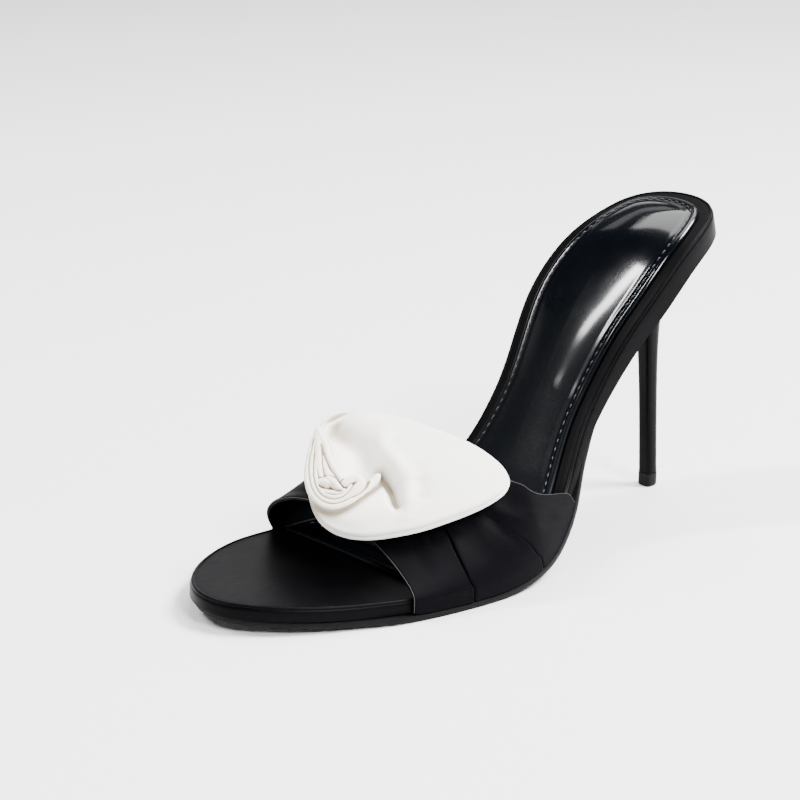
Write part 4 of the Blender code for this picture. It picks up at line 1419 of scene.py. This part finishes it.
        # Rings down the rim: outwards from the outline in mm, down from the face's edge in mm
        for out, down in ((0.55, 0.15), (0.95, 0.50), (1.10, 0.95), (0.95, 1.35), (0.45, 1.62), (-0.10, 1.70),
                          (0.10, 1.80), (0.75, 1.95), (1.30, 2.30), (1.55, 2.85), (1.35, 3.40), (0.60, 3.85),
                          (-0.60, 4.10), (-2.50, 4.20)):
            reach = radii - lip + out * MM
            table.append([self.rest(solid, *point)
                          for point in zip(reach * cos, reach * sin, edge - down * MM)])
        for share in (0.80, 0.62, 0.42, 0.20, 0.0):
            reach = radii * share
            drop = 0.0042 + 0.0060 * max(1 - (share / 0.7) ** 2, 0.0)
            table.append([self.rest(solid, *point) for point in zip(reach * cos, reach * sin, edge - drop)])
        item = Bench.rings("rosette_petal_satin", table)
        Bench.smooth(item, 70)
        # Painted shade in the petal's creases and a painted shadow under the bud's edge
        Bench.paint_crease_shade(item, 0.0010, 140, self.shaded)
        wear(item, self.satin)
        seat(item, "ivory_satin", "rosette_petal")

    def rest(self, solid: BVHTree, u: float, v: float, height: float) -> Vector:
        """Point of the underside, kept clear of the vamp."""
        foot = self.at(u, v, 0.0)
        hit = solid.ray_cast(foot + self.out * 0.02, -self.out)
        if hit[0] is not None:
            height = max(height, (hit[0] - foot).dot(self.out) + self.gap)
        return self.at(u, v, height)

    def bud(self) -> None:
        """Bud of rolled satin, set into the petal."""
        shift = np.array(self.lift) * MM
        centre = np.array(self.centre) * MM + shift
        columns, rows = 280, 120
        angles = np.array([2 * math.pi * k / columns for k in range(columns)])
        edge = (np.array(self.bud_edge) - np.array(self.centre)) * MM
        turns = np.arctan2(edge[:, 1], edge[:, 0]) % (2 * math.pi)
        order = np.argsort(turns)
        reach = np.interp(angles, turns[order], np.hypot(edge[:, 0], edge[:, 1])[order], period=2 * math.pi)
        for _ in range(4):
            reach = (np.roll(reach, 1) + 2 * reach + np.roll(reach, -1)) / 4
        cos, sin = np.cos(angles), np.sin(angles)
        table = []
        for k in range(rows + 1):
            share = (k / rows) ** 0.8
            u, v = centre[0] + reach * share * cos, centre[1] + reach * share * sin
            height = np.maximum(self.bud_height(u, v), self.petal_height(u, v) - 0.0012)
            table.append(self.row(u, v, height))
        for inward, down in self.tuck:
            u, v = centre[0] + (reach - inward * MM) * cos, centre[1] + (reach - inward * MM) * sin
            low = height - down * MM
            table.append(self.row(u, v, low))
        table.append(self.row(u, v, np.minimum(low, self.petal_height(u, v) - 0.0014)))
        table.append([self.at(centre[0], centre[1], 0.0)] * columns)
        item = Bench.rings("rosette_bud_satin", table)
        Bench.modify(item, "SMOOTH", factor=0.5, iterations=1)
        Bench.smooth(item, 80)
        # Painted shade in the bud's creases, on a satin that is itself darkened as painted shade
        Bench.paint_crease_shade(item, 0.00006, 90)
        wear(item, self.bud_ivory_painted_shade)
        seat(item, "bud_satin", "rosette_bud")

    def build(self) -> None:
        """Builds and seats the petal and the bud."""
        self.petal()
        self.bud()


def solid_tree(node: str) -> BVHTree:
    """Search tree over a CAD node's faces."""
    data = bpy.data.objects[node].data
    return BVHTree.FromPolygons([vert.co.copy() for vert in data.vertices],
                                [tuple(face.vertices) for face in data.polygons])


# Heel

@dataclass
class Heel:
    """Slim satin-covered heel that flares into a cup, with a fine seam at the cup's top."""

    last: Last
    satin: bpy.types.Material
    lift_material: bpy.types.Material
    shaft_width: float = 0.0058
    shaft_depth: float = 0.0063
    cup_width: float = 0.0400
    cup_front: float = 0.0095
    cup_back: float = 0.0125
    lean: float = 0.0042
    front_share: float = 0.45
    lift: float = 0.0050
    sides: int = 84
    # Exponent of the outline's flatter front half
    front_power: float = 0.45
    seam_rise: float = 0.995
    seam_radius: float = 0.00028
    # Rise, shaft, cup
    sections: tuple[Triple, ...] = (
        (0.00, 0.94, 0.000), (0.14, 0.93, 0.000), (0.36, 0.95, 0.000), (0.52, 1.03, 0.000),
        (0.62, 1.14, 0.005), (0.70, 1.24, 0.025), (0.77, 1.32, 0.075), (0.84, 1.30, 0.190),
        (0.90, 1.10, 0.370), (0.95, 0.70, 0.640), (1.00, 0.00, 1.000),
    )

    def __post_init__(self) -> None:
        """Reads the board's underside over the seat."""
        last = self.last
        lows = [last.point(0, last.toe + share * last.LENGTH, -last.board(share) - last.GAP) - last.tip
                for share in np.linspace(0.76, 1.0, 60)]
        self._under = ([point.y for point in lows], [point.z for point in lows])

    def ring(self, rise: float, draw_in: float = 0.0, shave: float = 0.0) -> list[Vector]:
        """Outline of the heel at a share of its rise.

        Args:
            rise: Share of the way from the lift to the seat.
            draw_in: How far the outline is drawn in.
            shave: How far its height is taken down.

        Returns:
            The points round it.
        """
        last = self.last
        places = [section[0] for section in self.sections]
        shaft = steady_curve(places, [section[1] for section in self.sections])(rise)
        cup = max(steady_curve(places, [section[2] for section in self.sections])(rise), 0.0)
        half = shaft * self.shaft_width / 2 + cup * self.cup_width / 2 - draw_in
        front = shaft * self.shaft_depth * self.front_share + cup * self.cup_front - draw_in
        back = shaft * self.shaft_depth * (1 - self.front_share) + cup * self.cup_back - draw_in
        points = []
        for k in range(self.sides):
            angle = 2 * math.pi * (k + 0.5) / self.sides
            power = 1.0 if math.sin(angle) > 0 else self.front_power
            reach = back if math.sin(angle) > 0 else front
            x = half * signed_power(math.cos(angle), power)
            y = reach * signed_power(math.sin(angle), power) - self.lean * rise
            top = self.under(y)
            points.append(last.tip + Vector((x, y, self.lift + rise * (top - self.lift) - shave)))
        return points

    def under(self, y: float) -> float:
        """Height of the board's underside at a place."""
        return float(np.interp(y, *self._under))

    def build(self) -> None:
        """Builds and seats the covered heel and its seam, and gives the lift its material."""
        table = [[self.middle(0.0)] * self.sides, self.ring(0.0, 0.0006), self.ring(0.0, 0.0002)]
        table += [self.ring(rise) for rise in spread(70, 0.0, 1.0)]
        table += [self.ring(1.0, 0.0012, 0.0002), [self.middle(1.0)] * self.sides]
        finish(Bench.rings("heel_satin_cover", table), 50, self.satin, "heel_satin", "heel")
        seam = Bench.tube("heel_seam", self.ring(self.seam_rise, -0.00005), self.seam_radius, 8, closed=True)
        finish(seam, 80, self.satin, "heel_satin")
        wear(bpy.data.objects["top_piece"], self.lift_material)

    def middle(self, rise: float) -> Vector:
        """Middle of the heel at a share of its rise."""
        ring = self.ring(rise)
        return sum(ring, Vector()) / len(ring)


# Studio

@dataclass(frozen=True)
class Lamp:
    """Soft rectangular light: its place, the point it faces, width and height, watts, and roll in degrees."""

    name: str
    place: Triple
    aim: Triple
    size: tuple[float, float]
    power: float
    roll: float = 0.0


@dataclass
class Studio:
    """Floor, lights and the camera at the photograph's angle."""

    tip: Vector
    floor: bpy.types.Material
    # Floor's radius, the height of its far edge and where on the way out it begins to rise
    reach: float = 6.0
    rise: float = 2.6
    rise_start: float = 0.62
    # Camera: place from the heel's tip, way back from the shoe and way to the right, lens in picture widths
    camera_place: Triple = (0.42969, -0.49077, 0.2235)
    camera_back: Triple = (0.723, -0.629, 0.285)
    camera_right: Triple = (0.65606, 0.75471, 0.0)
    focal: float = 1917 / 800
    sensor: float = 36.0
    air: Colour = (0.95, 0.96, 1.0, 1)
    air_strength: float = 0.06
    lamps: tuple[Lamp, ...] = (
        Lamp("key_softbox", (0.80, 0.95, 1.70), (0, 0, 0), (0.7, 0.7), 165),
        Lamp("streak_softbox", (-0.665, -0.721, 1.296), (0.01, 0.055, 0.07), (0.13, 0.60), 30, 19),
        Lamp("seat_softbox", (-1.11, 0.68, 1.09), (0, 0.085, 0.105), (0.70, 0.20), 0.5),
        Lamp("petal_softbox", (1.30, -0.20, 1.20), (0, -0.05, 0.05), (0.45, 0.45), 46),
        Lamp("floor_wash", (-0.8, 1.7, 3.1), (-0.8, 2.1, 0), (3.0, 2.6), 190),
    )

    def camera(self) -> None:
        """Camera solved from the photograph, placed from the heel's tip."""
        back = Vector(self.camera_back).normalized()
        right = Vector(self.camera_right).normalized()
        up = back.cross(right).normalized()
        right = up.cross(back)
        data = bpy.data.cameras.new("photo_camera")
        data.lens = self.sensor * self.focal
        data.sensor_width = self.sensor
        item = bpy.data.objects.new("photo_camera", data)
        turn = Matrix((right, up, back)).transposed().to_4x4()
        item.matrix_world = Matrix.Translation(self.tip + Vector(self.camera_place)) @ turn
        bpy.context.scene.collection.objects.link(item)
        bpy.context.scene.camera = item

    def sweep(self) -> None:
        """Floor that rises softly behind the shoe."""

        def place(u: float, v: float) -> Vector:
            """Point of the floor's sheet."""
            angle = 2 * math.pi * u
            out = self.reach * v ** 2
            rise = self.rise * ease(v, self.rise_start, 1.0)
            return Vector((out * math.cos(angle), out * math.sin(angle), rise))

        item = Bench.cloth("studio_floor", 72, 60, place)
        Bench.mend(item, inside=True)
        Bench.smooth(item, 60)
        wear(item, self.floor)

    @staticmethod
    def light(lamp: Lamp) -> None:
        """Hangs one lamp."""
        data = bpy.data.lights.new(lamp.name, "AREA")
        data.shape = "RECTANGLE"
        data.size, data.size_y = lamp.size
        data.energy = lamp.power
        item = bpy.data.objects.new(lamp.name, data)
        item.location = Vector(lamp.place)
        turn = (Vector(lamp.aim) - Vector(lamp.place)).to_track_quat("-Z", "Y")
        item.rotation_euler = (turn @ Quaternion((0, 0, 1), math.radians(lamp.roll))).to_euler()
        bpy.context.scene.collection.objects.link(item)

    def build(self) -> None:
        """Sets the whole studio."""
        self.camera()
        self.sweep()
        for lamp in self.lamps:
            self.light(lamp)
        world = bpy.data.worlds.new("studio_air")
        world.use_nodes = True
        air = world.node_tree.nodes["Background"].inputs
        air["Color"].default_value, air["Strength"].default_value = self.air, self.air_strength
        bpy.context.scene.world = world


# The whole shoe

# How far the lift's solid reaches beyond the heel's own outline
TIP_MARGIN = 0.0001


def heel_tip() -> Vector:
    """Place of the heel's tip in the object's frame, from its lift's solid."""
    low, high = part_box("top_piece")
    front = Heel.sections[0][1] * Heel.shaft_depth * Heel.front_share + TIP_MARGIN
    return Vector(((low[0] + high[0]) / 2, low[1] + front, 0.0))


def main() -> None:
    """Builds the dressed shoe, piece by piece."""
    logging.basicConfig(level=logging.INFO, format="%(name)s %(message)s")
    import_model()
    last = Last(heel_tip())
    dark, pale = (0.0004, 0.0004, 0.0006, 1), (0.0010, 0.0009, 0.0014, 1)
    black = Satin("black_satin", dark, pale, Gloss.CLEAR, 0.035, 0.02).material()
    vamp_black = Satin("vamp_satin", (0.0007, 0.00065, 0.0011, 1), (0.0015, 0.0014, 0.0023, 1),
                       Gloss.SOFT, 0.022, 0.02).material()
    heel_black = Satin("heel_satin", (0.0005, 0.0005, 0.0008, 1), (0.0011, 0.0011, 0.0016, 1),
                       Gloss.TIGHT, 0.04, 0.02).material()
    # The bud's satin is a darker, warmer copy of the petal's: painted shade of its tight plies. Both crease
    # colours are painted shade.
    bud_ivory_painted_shade = Satin("bud_satin", (0.800, 0.735, 0.610, 1), (0.915, 0.880, 0.800, 1),
                  Gloss.SOFT, 0.4, 0.20, crease=(0.20, 0.13, 0.075, 1)).material()
    ivory = Satin("ivory_satin", (0.860, 0.830, 0.765, 1), (0.930, 0.915, 0.875, 1),
                  Gloss.SOFT, 0.4, 0.20, crease=(0.34, 0.28, 0.20, 1)).material()
    sock = GrainedLeather("sock_leather", (0.0002, 0.0006, 0.0013, 1), (0.0006, 0.0012, 0.0022, 1)).material()
    sole = SmoothLeather("sole_leather", (0.0015, 0.0015, 0.0017, 1), (0.0030, 0.0029, 0.0032, 1)).material()
    lining = SmoothLeather("vamp_lining", (0.0014, 0.0018, 0.0027, 1), (0.0030, 0.0035, 0.0048, 1)).material()
    lift = SmoothLeather("lift_rubber", (0.0020, 0.0020, 0.0023, 1), (0.0040, 0.0040, 0.0044, 1),
                         0.45).material()
    thread = Thread("sock_thread", (0.009, 0.010, 0.013, 1)).material()
    Studio(last.tip, Floor().material()).build()
    Underfoot(last, black, sock, sole, thread).build()
    # Paler material for the painted highlight lines on the vamp's rolled edges
    edge_line = Thread("vamp_painted_highlight", (0.018, 0.018, 0.021, 1)).material()
    vamp = Vamp(last, vamp_black, lining, edge_line)
    vamp.build()
    Rosette(vamp, ivory, bud_ivory_painted_shade).build()
    Heel(last, heel_black, lift).build()


if __name__ == "__main__":
    main()
